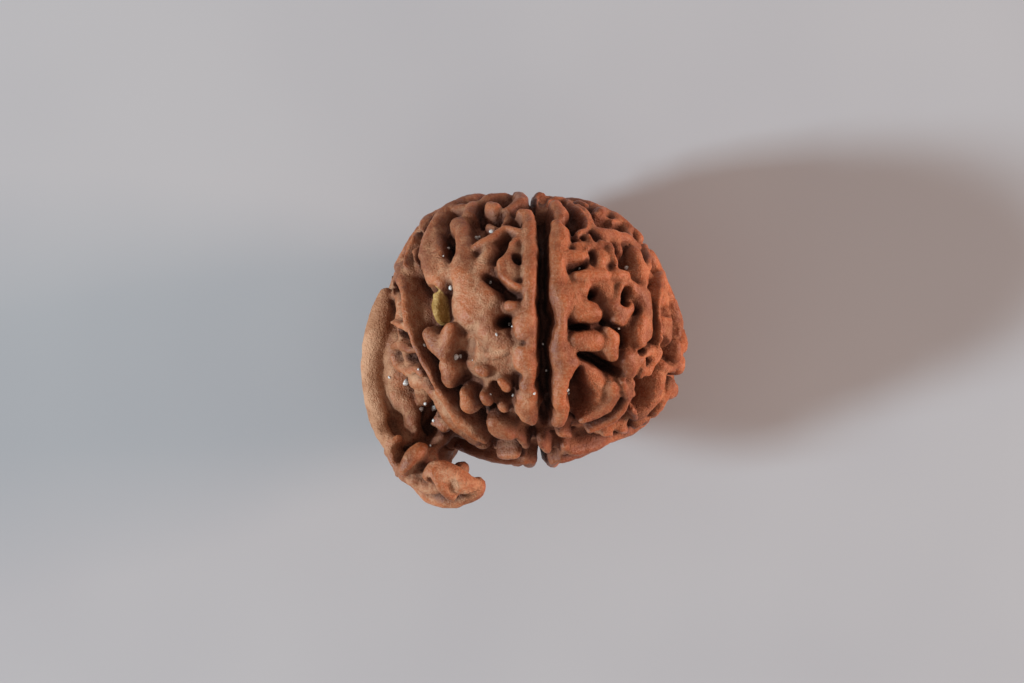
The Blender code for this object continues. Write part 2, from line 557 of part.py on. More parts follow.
def relief(points, ridges, pits):
    """The height of the skin over the smooth body: lobes melt together, then the pits are sunk."""
    points = wobbled(points)
    melted = np.zeros(len(points))
    for height, path in ridges:
        near, share = raised(points, [(point, width * LOBE_FOOT) for point, width in path], LOBE_EXPONENT)
        melted[near] += np.expm1(MELT * (height + GROUND_DROP) * np.sqrt(share))
    sunk = np.zeros(len(points))
    for depth, path in pits:
        near, share = raised(points, [(point, width * PIT_MOUTH) for point, width in path], PIT_EXPONENT)
        sunk[near] = np.maximum(sunk[near], depth * share)
    return np.log1p(melted) / MELT - GROUND_DROP - sunk


def undulation(points):
    """Slow unevenness of the whole skin."""
    return np.array([0.16 * noise.noise(Vector(p) * 0.45) + 0.07 * noise.noise(Vector(p) * 1.3) for p in points])


def settle(points, normals, height):
    """The lobes that the seed lies on are worn to one height, and no other one reaches the ground."""
    below = points[:, 2] < CENTRE.z
    radius = np.hypot(points[:, 0], points[:, 1] * 1.15)
    share = np.clip((SEAT_RADIUS + SEAT_FADE - radius) / SEAT_FADE, 0.0, 1.0)
    share = np.where(below, share * share * (3 - 2 * share), 0.0)
    room = (points[:, 2] - SEAT_CLEARANCE) / np.maximum(-normals[:, 2], 0.2)
    height = np.where(below & (radius > SEAT_RADIUS), np.minimum(height, room), height)
    return height * (1.0 - share) + SEAT_HEIGHT * share


def grow_net(body, skin):
    """Raises the net on a finer copy of the body."""
    draw = random.Random(SEED)
    plan_ridges = GROOVE_FLANKS + LEFT_FACE + LEFT_RIM + RIGHT_FACE + RIGHT_RIM + OUTER_LUMPS + TRUNK_LUMPS + [FLAKE]
    ridges = [(height, skin.path(plan)) for height, plan in plan_ridges]
    pits = [(depth, skin.path(plan)) for depth, plan in GROOVES + PITS]
    flanks, hidden_grooves = hidden_flanks(skin, draw)
    ridges += flanks
    pits += hidden_grooves
    ridges += hidden_net(skin, draw, ridges + pits)
    finer = body.modifiers.new("Finer", "SUBSURF")
    finer.levels = finer.render_levels = 1
    applied(body)
    points, normals = arrays(body.data)
    swell = FACE_SWELL * np.clip(groove_distance(points) / 4.0, 0.0, 1.0)
    height = settle(points, normals, relief(points, ridges, pits) + undulation(points) + swell)
    body.data.vertices.foreach_set("co", (points + normals * height[:, None]).ravel())
    body.data.update()
    return body


def thin_out(seed):
    """Evens the skin out, then keeps only as many triangles as its shape needs."""
    add_remesh(seed, SKIN_VOXEL)
    soften = seed.modifiers.new("Soften", "SMOOTH")
    soften.iterations = SKIN_SMOOTHING
    applied(seed)
    seed.data.calc_loop_triangles()
    thin = seed.modifiers.new("Thin", "DECIMATE")
    thin.ratio = TRIANGLES / len(seed.data.loop_triangles)
    return applied(seed)


def cut_seat(seed):
    """The flat spot, cut on the ground plane."""
    shape = bmesh.new()
    shape.from_mesh(seed.data)
    everything = shape.verts[:] + shape.edges[:] + shape.faces[:]
    cut = bmesh.ops.bisect_plane(shape, geom=everything, dist=SEAT_SNAP, plane_co=(0, 0, 0), plane_no=(0, 0, -1),
                                 clear_outer=True)
    rim = [item for item in cut["geom_cut"] if isinstance(item, bmesh.types.BMEdge)]
    for edge in rim:
        for vertex in edge.verts:
            vertex.co.z = 0.0
    bmesh.ops.holes_fill(shape, edges=rim)
    bmesh.ops.dissolve_degenerate(shape, dist=SHORTEST_EDGE, edges=shape.edges)
    bmesh.ops.triangulate(shape, faces=shape.faces)
    bmesh.ops.recalc_face_normals(shape, faces=shape.faces)
    shape.to_mesh(seed.data)
    shape.free()


def seed_material():
    material = bpy.data.materials.new("dry_rudraksha_shell")
    material.use_nodes = True
    shader = material.node_tree.nodes["Principled BSDF"]
    shader.inputs["Base Color"].default_value = (0.36, 0.16, 0.075, 1.0)
    shader.inputs["Roughness"].default_value = 0.62
    return material


def main():
    for old in list(bpy.data.objects):
        bpy.data.objects.remove(old)
    collection = bpy.data.collections.new("rudraksha")
    bpy.context.scene.collection.children.link(collection)
    body = make_body()
    seed = grow_net(body, Skin(body))
    thin_out(seed)
    cut_seat(seed)
    seed.name = seed.data.name = NODE
    seed.data.transform(Matrix.Scale(MM, 4))
    seed.data.materials.clear()
    seed.data.materials.append(seed_material())
    for home in list(seed.users_collection):
        home.objects.unlink(seed)
    collection.objects.link(seed)
    seed.data.shade_smooth()


main()
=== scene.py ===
"""The looks of a rudraksha seed with a trunk: its net grown finer than the solid's, with dust, polish, painted shade in
its hollows, gaps and pits, painted light on its sides, a dry yellow flake and white crumbs.

The seed is modelled in millimetres round the same centre as its solid, and scaled to metres once, at the end.
"""

import math
import random

import bpy
import numpy as np
from mathutils import Matrix, Vector, noise
from mathutils.bvhtree import BVHTree


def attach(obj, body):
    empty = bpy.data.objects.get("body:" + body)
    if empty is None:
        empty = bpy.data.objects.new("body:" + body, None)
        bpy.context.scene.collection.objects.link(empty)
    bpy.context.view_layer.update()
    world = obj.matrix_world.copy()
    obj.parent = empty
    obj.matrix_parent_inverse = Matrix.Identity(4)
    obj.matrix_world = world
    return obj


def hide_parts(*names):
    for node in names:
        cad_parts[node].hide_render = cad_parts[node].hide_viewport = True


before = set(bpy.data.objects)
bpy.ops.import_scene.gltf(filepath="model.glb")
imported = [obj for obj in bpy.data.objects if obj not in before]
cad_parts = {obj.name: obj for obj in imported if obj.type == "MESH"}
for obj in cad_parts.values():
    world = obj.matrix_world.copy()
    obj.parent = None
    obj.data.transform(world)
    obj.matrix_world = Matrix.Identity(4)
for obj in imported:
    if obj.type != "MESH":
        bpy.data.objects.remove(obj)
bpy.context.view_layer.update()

SEED_NODE = "rudraksha_seed"
MM = 0.001

# The smooth body under the net, as in the solid
HALF_WIDTH = 11.2
HALF_LENGTH = 9.95
HALF_HEIGHT = 10.1
CENTRE = Vector((0.6, 0.1, 10.7))

# Where its outline leaves the ellipse: (direction in degrees, millimetres outward, how narrow)
BULGES = [(128.0, 1.1, 12.0), (150.0, -0.1, 30.0), (23.0, -0.85, 22.0), (-60.0, -0.6, 24.0), (-32.0, 0.55, 30.0)]

# The seed lies on its side: its stalk pole points to the viewer's feet and a little up
POLE = Vector((0.068, -0.913, 0.402)).normalized()
FACES = 6
MIDDLE_GROOVE_DEG = -4.0
FACE_SWELL = 0.2

# Where the eye stands over the seed. The plan positions below are seen from it, on the level of the centre,
# and counted in plan steps from the centre: x to the right and y up
EYE = CENTRE + Vector((-1.8, -0.9, 300.0))
VIEW_WIDTH = 81.92
PLAN_STEP = 0.08

# The outgrowth and the rough wall that joins it to the seed down to the crook: plan position, height over the
# centre, half-thickness
TRUNK = [
    (-11.6, 3.2, 0.0, 1.2),
    (-12.6, 0.8, 0.0, 1.3),
    (-13.1, -1.8, 0.1, 1.25),
    (-13.1, -4.6, 0.3, 1.25),
    (-12.5, -7.0, 0.8, 1.3),
    (-11.3, -8.9, 1.6, 1.35),
    (-9.6, -10.4, 2.3, 1.4),
    (-7.9, -11.3, 2.9, 1.45),
    (-6.4, -11.8, 3.2, 1.4),
    (-5.3, -12.05, 3.4, 0.85),
    (-4.8, -12.15, 3.4, 0.5),
]
WALL = [
    (-10.4, 0.0, -0.6, 1.6),
    (-10.9, -2.8, -0.6, 1.7),
    (-10.4, -5.4, -0.4, 1.8),
    (-9.5, -7.4, 0.0, 1.8),
    (-8.4, -8.7, 0.4, 2.1),
    (-7.3, -9.3, 0.6, 1.9),
]
TUBE_DEPTH = 1.5

BODY_VOXEL = 0.3
BODY_SMOOTHING = 14
FINE_VOXEL = 0.245
FINE_SMOOTHING = 4
SKIN_VOXEL = 0.152
SKIN_SMOOTHING = 1
SKIN_TRIANGLES = 195000

# How the relief is made: path step, how softly lobes melt together, the cross-section's exponent
PATH_STEP = 0.35
MELT = 11.0
GROUND_DROP = 0.65
SEEN_LEVEL = 0.75
LOBE_FOOT = 1.08
LOBE_EXPONENT = 2.1
PIT_MOUTH = 1.35
PIT_EXPONENT = 2.6
WOBBLE = 0.13
OVERHANG = 0.1
OVERHANG_FROM = 0.35
OVERHANG_FULL = 0.95

# Ridges of the photographed side: (height in millimetres, [(x, y, half-width), ...] in plan steps)
GROOVE_FLANKS = [
    (0.9, [(-27, 120, 5), (-15, 128, 7), (-4, 131, 7)]),
    (1.1, [(-14, 117, 6), (-7, 116, 7), (-5, 108, 9), (-5, 100, 10), (-5, 92, 10), (-5, 83, 9), (-5, 72, 8.5),
           (-4, 62, 8), (-4, 52, 8.5), (-4, 42, 9), (-5, 32, 8), (-5, 23, 8), (-6, 15, 11), (-8, 8, 14),
           (-8, 1, 14.5), (-6, -5, 12), (-2, -12, 7), (-3, -17, 5)]),
    (1.1, [(-3, -17, 5), (-9, -22, 12), (-9, -28, 14.5), (-8, -34, 14), (-6, -40, 11), (-4, -45, 10),
           (-7, -50, 10), (-7, -56, 9.5), (-2, -62, 6)]),
    (1.05, [(-2, -62, 6), (-5, -67, 10), (-8, -73, 14), (-7, -80, 14), (-6, -86, 11), (-1, -92, 5)]),
    (0.8, [(8, -76, 3), (8, -79, 3)]),
    (0.9, [(20, 132, 6), (28, 131, 5)]),
    (1.15, [(21, 124, 8), (25, 118, 10), (26, 111, 7)]),
    (1.2, [(22, 104, 7), (25, 97, 11), (24, 89, 12), (23, 81, 11), (23, 72, 9), (24, 64, 9), (24, 55, 10.5),
           (23, 46, 10), (25, 38, 12), (28, 30, 14), (29, 22, 10.5), (27, 14, 7.5), (26, 5, 7), (25, -3, 8.5),
           (24, -11, 10), (25, -19, 13), (28, -26, 15), (31, -34, 15), (30, -41, 12), (28, -48, 11),
           (26, -56, 10), (25, -64, 9), (24, -72, 8), (23, -77, 4)]),
    (1.0, [(31, -76, 6), (27, -84, 9), (24, -93, 9)]),
    (1.1, [(28, 72, 9), (38, 73, 9), (45, 73, 7.5)]),
    (1.05, [(33, 40, 10), (43, 41, 10), (51, 42, 8)]),
    (1.0, [(33, 28, 9), (40, 30, 8)]),
]
LEFT_FACE = [
    (1.05, [(-15, 92, 4), (-24, 85, 4), (-31, 76, 4), (-35, 66, 4.5), (-32, 55, 4.5), (-24, 46, 4), (-14, 42, 4)]),
    (0.85, [(-21, 84, 8), (-26, 72, 12), (-24, 58, 12)]),
    (0.8, [(-25, 26, 8), (-20, 25, 8)]),
    (1.0, [(-30, 103, 4), (-22, 101, 5), (-15, 98, 5)]),
    (0.9, [(-59, 83, 5), (-50, 88, 6), (-40, 94, 6), (-31, 101, 5)]),
    (0.6, [(-51, 74, 10), (-45, 82, 9)]),
    (0.55, [(-57, 68, 10), (-47, 62, 8)]),
    (1.0, [(-76, 108, 11), (-73, 98, 9), (-71, 88, 9), (-72, 76, 12), (-74, 64, 15), (-72, 52, 14)]),
    (1.0, [(-104, 111, 5), (-108, 101, 5), (-110, 90, 7), (-109, 78, 11), (-106, 66, 13), (-101, 56, 13),
           (-94, 49, 9)]),
    (0.35, [(-97, 110, 8), (-95, 100, 6)]),
    (0.8, [(-93, 66, 8), (-88, 56, 9)]),
    (0.85, [(-100, 98, 7), (-99, 86, 8), (-97, 74, 9)]),
    (0.8, [(-70, 44, 15), (-69, 30, 19), (-68, 18, 17)]),
    (0.62, [(-56, 56, 15), (-53, 36, 18), (-53, 18, 18), (-50, 4, 15)]),
    (0.45, [(-46, 0, 14), (-38, -12, 13), (-30, -16, 10)]),
    (0.0, [(-66, -16, 14), (-58, -34, 18), (-34, -36, 16), (-40, -60, 16)]),
    (1.2, [(-105, -5, 9), (-101, -12, 11), (-94, -20, 9), (-89, -28, 5)]),
    (1.2, [(-84, 2, 6), (-87, -6, 9.5), (-89, -15, 9), (-91, -22, 8)]),
    (1.1, [(-89, -36, 9), (-86, -44, 11), (-86, -52, 9)]),
    (0.7, [(-57, -39, 6), (-51, -42, 7)]),
    (1.2, [(-71, -61, 5), (-68, -69, 9), (-66, -76, 12)]),
    (1.05, [(-51, -66, 5), (-48, -71, 6.5)]),
    (1.0, [(-33, -52, 5), (-28, -58, 6.5)]),
    (0.6, [(-35, -77, 5), (-31, -81, 6)]),
    (1.1, [(-41, -94, 9), (-36, -101, 13), (-26, -105, 8)]),
    (0.35, [(-50, -25, 4), (-40, -27, 5), (-28, -23, 4)]),
    (0.9, [(-82, 122, 6), (-73, 124, 7)]),
    (0.7, [(-61, 128, 6), (-51, 129, 5)]),
    (0.5, [(-47, 108, 6), (-40, 105, 5)]),
    (0.5, [(-27, 116, 6), (-33, 108, 4)]),
]
LEFT_RIM = [
    (0.9, [(-97, -62, 5), (-90, -72, 6.5), (-84, -80, 7.5), (-76, -91, 8), (-66, -101, 8.5), (-56, -109, 7)]),
    (0.75, [(-104, -64, 7), (-97, -76, 9), (-88, -90, 11), (-76, -102, 12), (-62, -112, 10)]),
    (0.2, [(-92, -108, 12), (-76, -114, 12), (-58, -118, 10)]),
    (0.2, [(-142, 34, 9), (-141, 12, 11), (-137, -12, 13), (-130, -34, 14), (-122, -54, 14), (-118, -74, 10)]),
    (0.8, [(-117, 112, 4), (-108, 118, 4.5), (-97, 123, 4.5), (-85, 127, 4)]),
    (0.95, [(-118, 108, 4), (-124, 97, 5), (-128, 87, 5.5), (-133, 76, 6), (-136, 64, 7), (-134, 51, 7),
            (-131, 40, 5)]),
    (1.0, [(-131, 40, 5), (-130, 30, 5), (-129, 20, 4.5), (-128, 10, 4.5), (-125, 0, 4), (-121, -10, 3.5),
           (-117, -20, 3), (-112, -30, 3), (-106, -40, 3.5), (-101, -50, 4), (-96, -60, 4), (-89, -70, 4),
           (-83, -80, 4), (-78, -90, 4), (-72, -97, 4), (-62, -104, 4), (-50, -112, 3.5)]),
]
RIGHT_FACE = [
    (0.05, [(56, 90, 12), (62, 80, 14), (70, 66, 14)]),
    (0.1, [(48, 48, 14), (66, 48, 16), (80, 46, 12)]),
    (0.25, [(72, 38, 12), (75, 26, 13)]),
    (0.8, [(52, 77, 7), (56, 68, 8)]),
    (0.7, [(36, 50, 6)]),
    (0.6, [(76, 44, 8), (75, 34, 9)]),
    (-0.1, [(48, 17, 12), (60, 14, 12), (60, -6, 14), (74, -14, 14), (78, -24, 10)]),
    (0.3, [(104, 34, 12), (107, 12, 13), (104, -10, 13), (98, -32, 13)]),
    (0.15, [(102, 66, 12), (105, 52, 12)]),
    (0.85, [(32, 130, 3), (40, 122, 3), (48, 116, 3), (52, 108, 3.5), (50, 100, 4), (43, 94, 4)]),
    (0.8, [(44, 124, 3), (53, 117, 3.5), (58, 106, 4), (61, 97, 4)]),
    (0.85, [(41, 85, 6), (48, 85, 7)]),
    (1.0, [(53, 92, 3), (57, 86, 3.5), (54, 79, 3)]),
    (0.95, [(63, 80, 8), (68, 73, 10), (65, 68, 9)]),
    (1.1, [(65, 86, 4), (73, 83, 5), (76, 73, 4.5), (79, 66, 4)]),
    (0.8, [(66, 94, 6), (71, 91, 7)]),
    (0.9, [(64, 99, 3), (77, 97, 3.5), (87, 94, 4), (95, 92, 5)]),
    (0.5, [(84, 90, 6), (87, 83, 6)]),
    (0.8, [(77, 110, 4), (87, 109, 5), (94, 101, 5), (97, 90, 5), (105, 85, 5)]),
    (0.7, [(62, 117, 5), (73, 113, 4)]),
    (1.0, [(42, 54, 7), (55, 54, 10), (68, 56, 9)]),
    (1.0, [(81, 55, 8), (89, 54, 8)]),
    (0.9, [(91, 49, 5), (85, 40, 4), (82, 31, 4)]),
    (0.55, [(71, 40, 9), (75, 32, 9)]),
    (1.0, [(78, 24, 10), (86, 18, 13), (94, 22, 8)]),
    (1.0, [(84, 10, 9)]),
    (1.05, [(45, 18, 11), (52, 19, 12.5), (58, 17, 11.5)]),
    (1.0, [(42, -11, 11), (51, -11, 12.5), (60, -11, 11.5)]),
    (0.95, [(74, 0, 7), (77, -8, 10.5), (77, -18, 10.5), (79, -25, 8)]),
    (1.0, [(109, 10, 8), (108, -2, 12), (107, -13, 10)]),
    (0.6, [(107, 30, 8), (110, 20, 7)]),
    (0.5, [(105, 68, 8), (105, 55, 7)]),
    (0.8, [(102, 42, 4), (109, 40, 5), (115, 36, 4)]),
    (0.9, [(111, 84, 4), (115, 74, 3.5), (114, 62, 3.5), (112, 51, 3.5), (109, 43, 4)]),
    (0.95, [(94, -27, 8), (99, -34, 13), (97, -41, 10)]),
    (0.8, [(112, -24, 6), (120, -21, 7)]),
    (1.0, [(102, -23, 3.5), (108, -30, 4), (110, -39, 4), (106, -46, 4)]),
    (0.3, [(52, -38, 8), (56, -47, 11), (64, -52, 10)]),
    (0.85, [(80, -57, 8), (81, -68, 9), (75, -78, 10), (63, -86, 8), (48, -91, 5)]),
    (0.35, [(66, -60, 12), (66, -72, 12)]),
]
RIGHT_RIM = [
    (1.0, [(120, 78, 4), (124, 67, 4), (127, 54, 4.5), (126, 40, 5), (124, 27, 4), (125, 12, 3), (126, -3, 3),
           (127, -16, 4), (124, -26, 4), (118, -34, 5), (114, -43, 6), (111, -49, 5)]),
    (1.0, [(86, -52, 4), (92, -60, 5), (93, -69, 5), (88, -79, 5.5), (79, -89, 5), (67, -96, 5), (55, -100, 4)]),
    (0.9, [(97, -54, 5), (99, -64, 4)]),
]
OUTER_LUMPS = [
    (0.3, [(134, 40, 12), (138, 15, 13), (137, -8, 12)]),
    (0.25, [(130, -50, 12), (124, -70, 12), (110, -88, 12)]),
    (0.3, [(90, -98, 12), (72, -106, 12)]),
    (0.2, [(66, -120, 12), (46, -122, 12), (20, -124, 10)]),
    (0.2, [(122, 60, 10), (112, 76, 10), (98, 92, 10)]),
    (0.8, [(135, 55, 5), (140, 40, 5), (145, 25, 5), (147, 10, 6), (146, -5, 6)]),
    (0.6, [(133, 10, 6), (132, -2, 6)]),
    (0.85, [(144, -15, 6), (143, -28, 5)]),
    (0.7, [(132, -37, 6), (140, -40, 5)]),
    (0.85, [(138, -52, 5), (133, -64, 6.5), (127, -76, 6.5), (120, -85, 5)]),
    (0.8, [(110, -91, 5), (101, -96, 6)]),
    (0.8, [(99, -80, 4), (101, -88, 5)]),
    (0.8, [(87, -100, 6), (93, -102, 4)]),
    (0.8, [(77, -104, 4), (70, -106, 4)]),
    (0.85, [(62, -116, 6), (55, -125, 6)]),
    (0.85, [(31, -120, 6), (29, -129, 7)]),
    (0.8, [(6, -114, 5), (13, -123, 6)]),
    (0.7, [(25, -106, 5), (35, -107, 4)]),
    (0.8, [(-10, -118, 6), (-15, -110, 5)]),
    (0.4, [(-37, -126, 8), (-35, -133, 8)]),
    (0.7, [(-50, -120, 5), (-57, -117, 5)]),
    (0.7, [(-21, -130, 5), (-11, -128, 5)]),
]
TRUNK_LUMPS = [
    (0.9, [(-142, 8, 3), (-135, 5, 4), (-128, 1, 3.5)]),
    (0.8, [(-142, -16, 4.5), (-135, -15, 6), (-127, -19, 5), (-119, -22, 3)]),
    (0.8, [(-141, -26, 4.5), (-138, -36, 5), (-130, -42, 6), (-121, -40, 5), (-114, -44, 5)]),
    (0.5, [(-127, -54, 9), (-115, -56, 10), (-107, -63, 8)]),
    (0.45, [(-143, -64, 8), (-135, -70, 10), (-125, -70, 11), (-121, -80, 9), (-124, -90, 8)]),
    (0.1, [(-147, 45, 8), (-155, 25, 11), (-160, 5, 13), (-162, -15, 14), (-162, -40, 14), (-160, -65, 14),
           (-156, -88, 13), (-150, -110, 11)]),
    (0.2, [(-148, 20, 10), (-148, -10, 14), (-144, -40, 15), (-140, -66, 14)]),
    (0.0, [(-116, -98, 12), (-102, -110, 13), (-88, -116, 11)]),
    (0.65, [(-136, -107, 5), (-146, -113, 6), (-148, -123, 7), (-143, -133, 5), (-137, -140, 4)]),
    (0.9, [(-114, -117, 8), (-120, -123, 10), (-125, -131, 10), (-130, -140, 8)]),
    (0.6, [(-103, -142, 12), (-93, -146, 16), (-80, -151, 16), (-66, -154, 12), (-55, -155, 7)]),
    (0.8, [(-102, -140, 3.5), (-98, -152, 4), (-92, -162, 4), (-82, -170, 4)]),
]

# Pits and grooves of the photographed side: (depth in millimetres, [(x, y, half-width), ...] in plan steps)
GROOVES = [
    (1.0, [(8, 134, 4), (8, 112, 5), (9, 100, 5), (9, 85, 3.5), (9, 65, 5), (8, 30, 5.5), (13, 10, 7), (10, -10, 6),
           (8, -17, 5), (10, -35, 5.5), (9, -55, 7), (12, -75, 5), (10, -90, 5), (12, -107, 4)]),
    (0.9, [(-114, 102, 3), (-118, 90, 3), (-124, 78, 3.5), (-126, 66, 3.5), (-125, 54, 4), (-121, 44, 5)]),
    (0.65, [(-120, 38, 6), (-116, 27, 8), (-115, 15, 8), (-117, 3, 6), (-118, -6, 3.5)]),
    (0.9, [(-117, -10, 2.5), (-111, -21, 2.5), (-105, -30, 3), (-100, -40, 3), (-97, -50, 3), (-90, -60, 3.5),
           (-82, -68, 3.5), (-76, -78, 3), (-68, -89, 3.5), (-58, -97, 4), (-51, -103, 3)]),
    (0.6, [(121, 30, 2), (121, 12, 2), (122, -5, 2), (118, -14, 2)]),
    (0.5, [(81, -51, 2), (87, -61, 2), (88, -70, 2), (82, -79, 2), (73, -88, 2), (60, -93, 2), (47, -97, 2.5)]),
]
PITS = [
    (2.0, [(-88, 94, 4.2), (-86, 86, 5), (-87, 79, 4.2)]),
    (1.1, [(-114, 44, 3), (-107, 41, 3.5), (-101, 41, 3)]),
    (1.5, [(-49, 53, 3.4), (-42, 49, 5), (-37, 46, 3.4)]),
    (0.4, [(-32, 42, 6), (-22, 36, 5)]),
    (1.8, [(-35, 8, 4.7), (-31, 8, 4.7)]),
    (1.2, [(-20, 75, 3), (-17, 69, 3.2)]),
    (1.0, [(-27, 90, 3), (-32, 81, 4), (-36, 73, 3)]),
    (0.8, [(-18, 106, 2.5), (-14, 106, 2)]),
    (0.7, [(-59, 92, 3), (-49, 96, 5), (-40, 102, 4)]),
    (0.9, [(-54, 117, 3.5)]),
    (0.6, [(-82, 117, 4)]),
    (0.5, [(-69, -15, 6), (-71, -26, 6), (-77, -30, 4)]),
    (0.9, [(-41, -60, 5), (-35, -66, 6), (-24, -69, 5)]),
    (0.9, [(-60, -89, 5), (-52, -85, 5), (-43, -80, 4)]),
    (0.7, [(-14, -98, 3.5), (-7, -103, 4)]),
    (0.9, [(-4, -113, 3.5)]),
    (0.7, [(-15, -47, 3)]),
    (0.5, [(-11, -13, 3.5)]),
    (1.2, [(38, 111, 7), (42, 105, 7)]),
    (0.8, [(73, 103, 5), (83, 102, 5)]),
    (1.2, [(84, 73, 6), (92, 72, 7)]),
    (0.6, [(57, 77, 3), (59, 68, 3.5)]),
    (1.2, [(43, 62, 2), (49, 64, 2.8), (53, 69, 2)]),
    (1.6, [(57, 38, 3.4), (61, 38, 2.6)]),
    (1.6, [(92, 39, 4), (90, 33, 5), (89, 28, 4.5)]),
    (1.6, [(41, 4, 2.2), (48, 3, 2.8), (55, 3, 2.2)]),
    (1.3, [(71, 9, 2.5), (77, 4, 3), (84, 1, 3)]),
    (1.6, [(88, -1, 4), (91, -8, 5), (91, -14, 4.5)]),
    (1.3, [(101, 20, 3.5), (105, 20, 3)]),
    (0.9, [(117, 56, 3), (116, 46, 4)]),
    (1.0, [(105, -22, 3), (110, -20, 3.5)]),
    (1.1, [(131, -15, 7), (135, -21, 6)]),
    (0.9, [(132, 22, 5), (138, 20, 5)]),
    (1.7, [(47, -25, 3), (60, -31, 3.8), (73, -38, 4.8), (86, -44, 4.2)]),
    (1.3, [(45, -44, 5), (43, -54, 7), (45, -64, 8)]),
    (0.9, [(44, -62, 8), (48, -70, 10), (46, -80, 7)]),
    (1.6, [(112, -54, 7), (113, -66, 10), (110, -78, 8)]),
    (0.7, [(119, -48, 5), (120, -58, 6)]),
    (0.4, [(14, -107, 3)]),
    (0.8, [(38, -97, 3.5), (45, -100, 3)]),
    (0.6, [(42, -114, 4)]),
    (0.5, [(19, -117, 3)]),
    (0.5, [(91, -91, 5)]),
    (1.1, [(-139, 0, 3.5), (-134, -4, 4.5)]),
    (1.2, [(-131, -28, 3), (-125, -30, 3.5), (-119, -28, 2.5)]),
    (0.6, [(-138, -86, 6), (-136, -93, 7)]),
    (1.4, [(-107, -85, 6), (-105, -95, 8), (-110, -105, 7)]),
    (0.9, [(-123, -107, 4), (-100, -110, 5)]),
    (0.35, [(-151, -94, 5)]),
    (0.45, [(-136, -116, 5), (-137, -128, 4)]),
    (0.75, [(-108, -126, 4), (-117, -137, 4), (-125, -145, 3)]),
    (0.6, [(-106, -148, 2), (-104, -156, 3)]),
    (0.3, [(-83, -156, 4)]),
]
# Broad low swellings between the drawn lobes: (height in millimetres, [(x, y, half-width), ...] in plan steps)
SWELLINGS = [
    (0.9, [(112, 36, 8), (115, 15, 9), (114, -5, 9)]),
    (0.95, [(96, 44, 8), (106, 36, 10), (112, 24, 11)]),
    (0.6, [(88, -60, 6), (87, -72, 6), (78, -84, 6)]),
    (0.6, [(134, 40, 12), (138, 15, 13), (137, -8, 12)]),
    (0.55, [(130, -50, 12), (124, -70, 12), (110, -88, 12)]),
    (0.9, [(102, 80, 9), (108, 64, 10), (109, 50, 8)]),
    (0.9, [(64, 97, 6), (78, 96, 8), (92, 93, 8)]),
    (0.9, [(90, -107, 7)]),
    (0.9, [(68, -116, 7)]),
    (0.9, [(55, -128, 8)]),
    (0.9, [(30, -134, 8)]),
    (0.7, [(-134, 74, 7), (-134, 58, 8), (-133, 42, 8), (-131, 26, 7), (-130, 12, 6)]),
    (0.35, [(-142, 34, 9), (-141, 12, 11), (-137, -12, 13), (-130, -34, 14), (-122, -54, 14), (-118, -74, 10)]),
]
# A dry yellow flake of pulp that stayed beside the pit left of the plateau
FLAKE = (0.6, [(-101, 37, 6), (-102, 27, 7), (-101, 17, 6.5), (-98, 11, 4.5)])

# The net on the sides that the photograph doesn't show, drawn by one seeded rule
SEED = 11
NET_SPACING = 1.8
NET_WIDTH = (0.5, 0.8)
NET_HEIGHT = (0.75, 1.1)
NET_LENGTH = (0.7, 1.9)
NET_TRUNK_SHARE = 0.5
TRUNK_BARE_BELOW = 2.5
SHOWN_HALF_WIDTH = 10.2
SHOWN_HALF_LENGTH = 9.4
CLEAR_OF_DRAWN = 0.6
CLEAR_OF_GROOVE = 1.35
FLANK_OFFSET = 0.9
FLANK_STEP_DEG = 7.0
FLANK_LATITUDES = {-1: (-82, -22), 0: (-82, -46), 1: (-82, -32), 2: (-82, 78), 3: (-82, 78), 4: (-82, 78)}

SEAT_RADIUS = 2.0
SEAT_FADE = 1.0
SEAT_HEIGHT = 0.9
SEAT_CLEARANCE = 0.15

# How open each spot of the skin is to the air, which sets how much painted shade it gets: rays sent out, how far they
# look, and how far for narrow gaps
OPEN_RAYS = 16
OPEN_REACH = 3.5
GAP_REACH = 0.9

# Loose white crumbs lodged in the net: plan position and width, in plan steps
CRUMBS = [
    (-58, 92, 5), (-55, 93, 4), (-43, 99, 4), (-86, 82, 3), (-84, 43, 4), (-91, 74, 2), (-44, 48, 4.5),
    (-25, 5, 4), (-22, 4, 3), (-79, -27, 6), (-74, -26, 4), (-128, -52, 7), (-145, -47, 3), (-114, -79, 6),
    (-109, -73, 5), (-100, -77, 7), (-101, -90, 4), (-104, -116, 3), (45, 62, 3), (84, 2, 3), (33, -60, 4),
    (34, -63, 3), (9, -14, 3), (12, -40, 4), (0, -63, 3), (-21, -65, 3), (-44, -64, 2), (-62, -30, 2),
    (-110, -15, 3), (92, 62, 4), (-116, -39, 3), (-38, -4, 3),
]


def deselect():
    bpy.ops.object.select_all(action="DESELECT")


def make_active(piece):
    deselect()
    piece.select_set(True)
    bpy.context.view_layer.objects.active = piece


def apply_modifiers(piece):
    make_active(piece)
    for modifier in list(piece.modifiers):
        bpy.ops.object.modifier_apply(modifier=modifier.name)


def even_out(piece, voxel, smoothing):
    """Replaces the piece's faces by even ones of this size, smoothed."""
    remesh = piece.modifiers.new("Even", "REMESH")
    remesh.mode = "VOXEL"
    remesh.voxel_size = voxel
    smooth = piece.modifiers.new("Smooth", "SMOOTH")
    smooth.iterations = smoothing
    apply_modifiers(piece)


def thin_out(piece, triangles):
    """Leaves about this many triangles, the fewest where the skin is flattest."""
    thinner = piece.modifiers.new("Thinner", "DECIMATE")
    thinner.ratio = triangles / (2 * len(piece.data.polygons))
    apply_modifiers(piece)


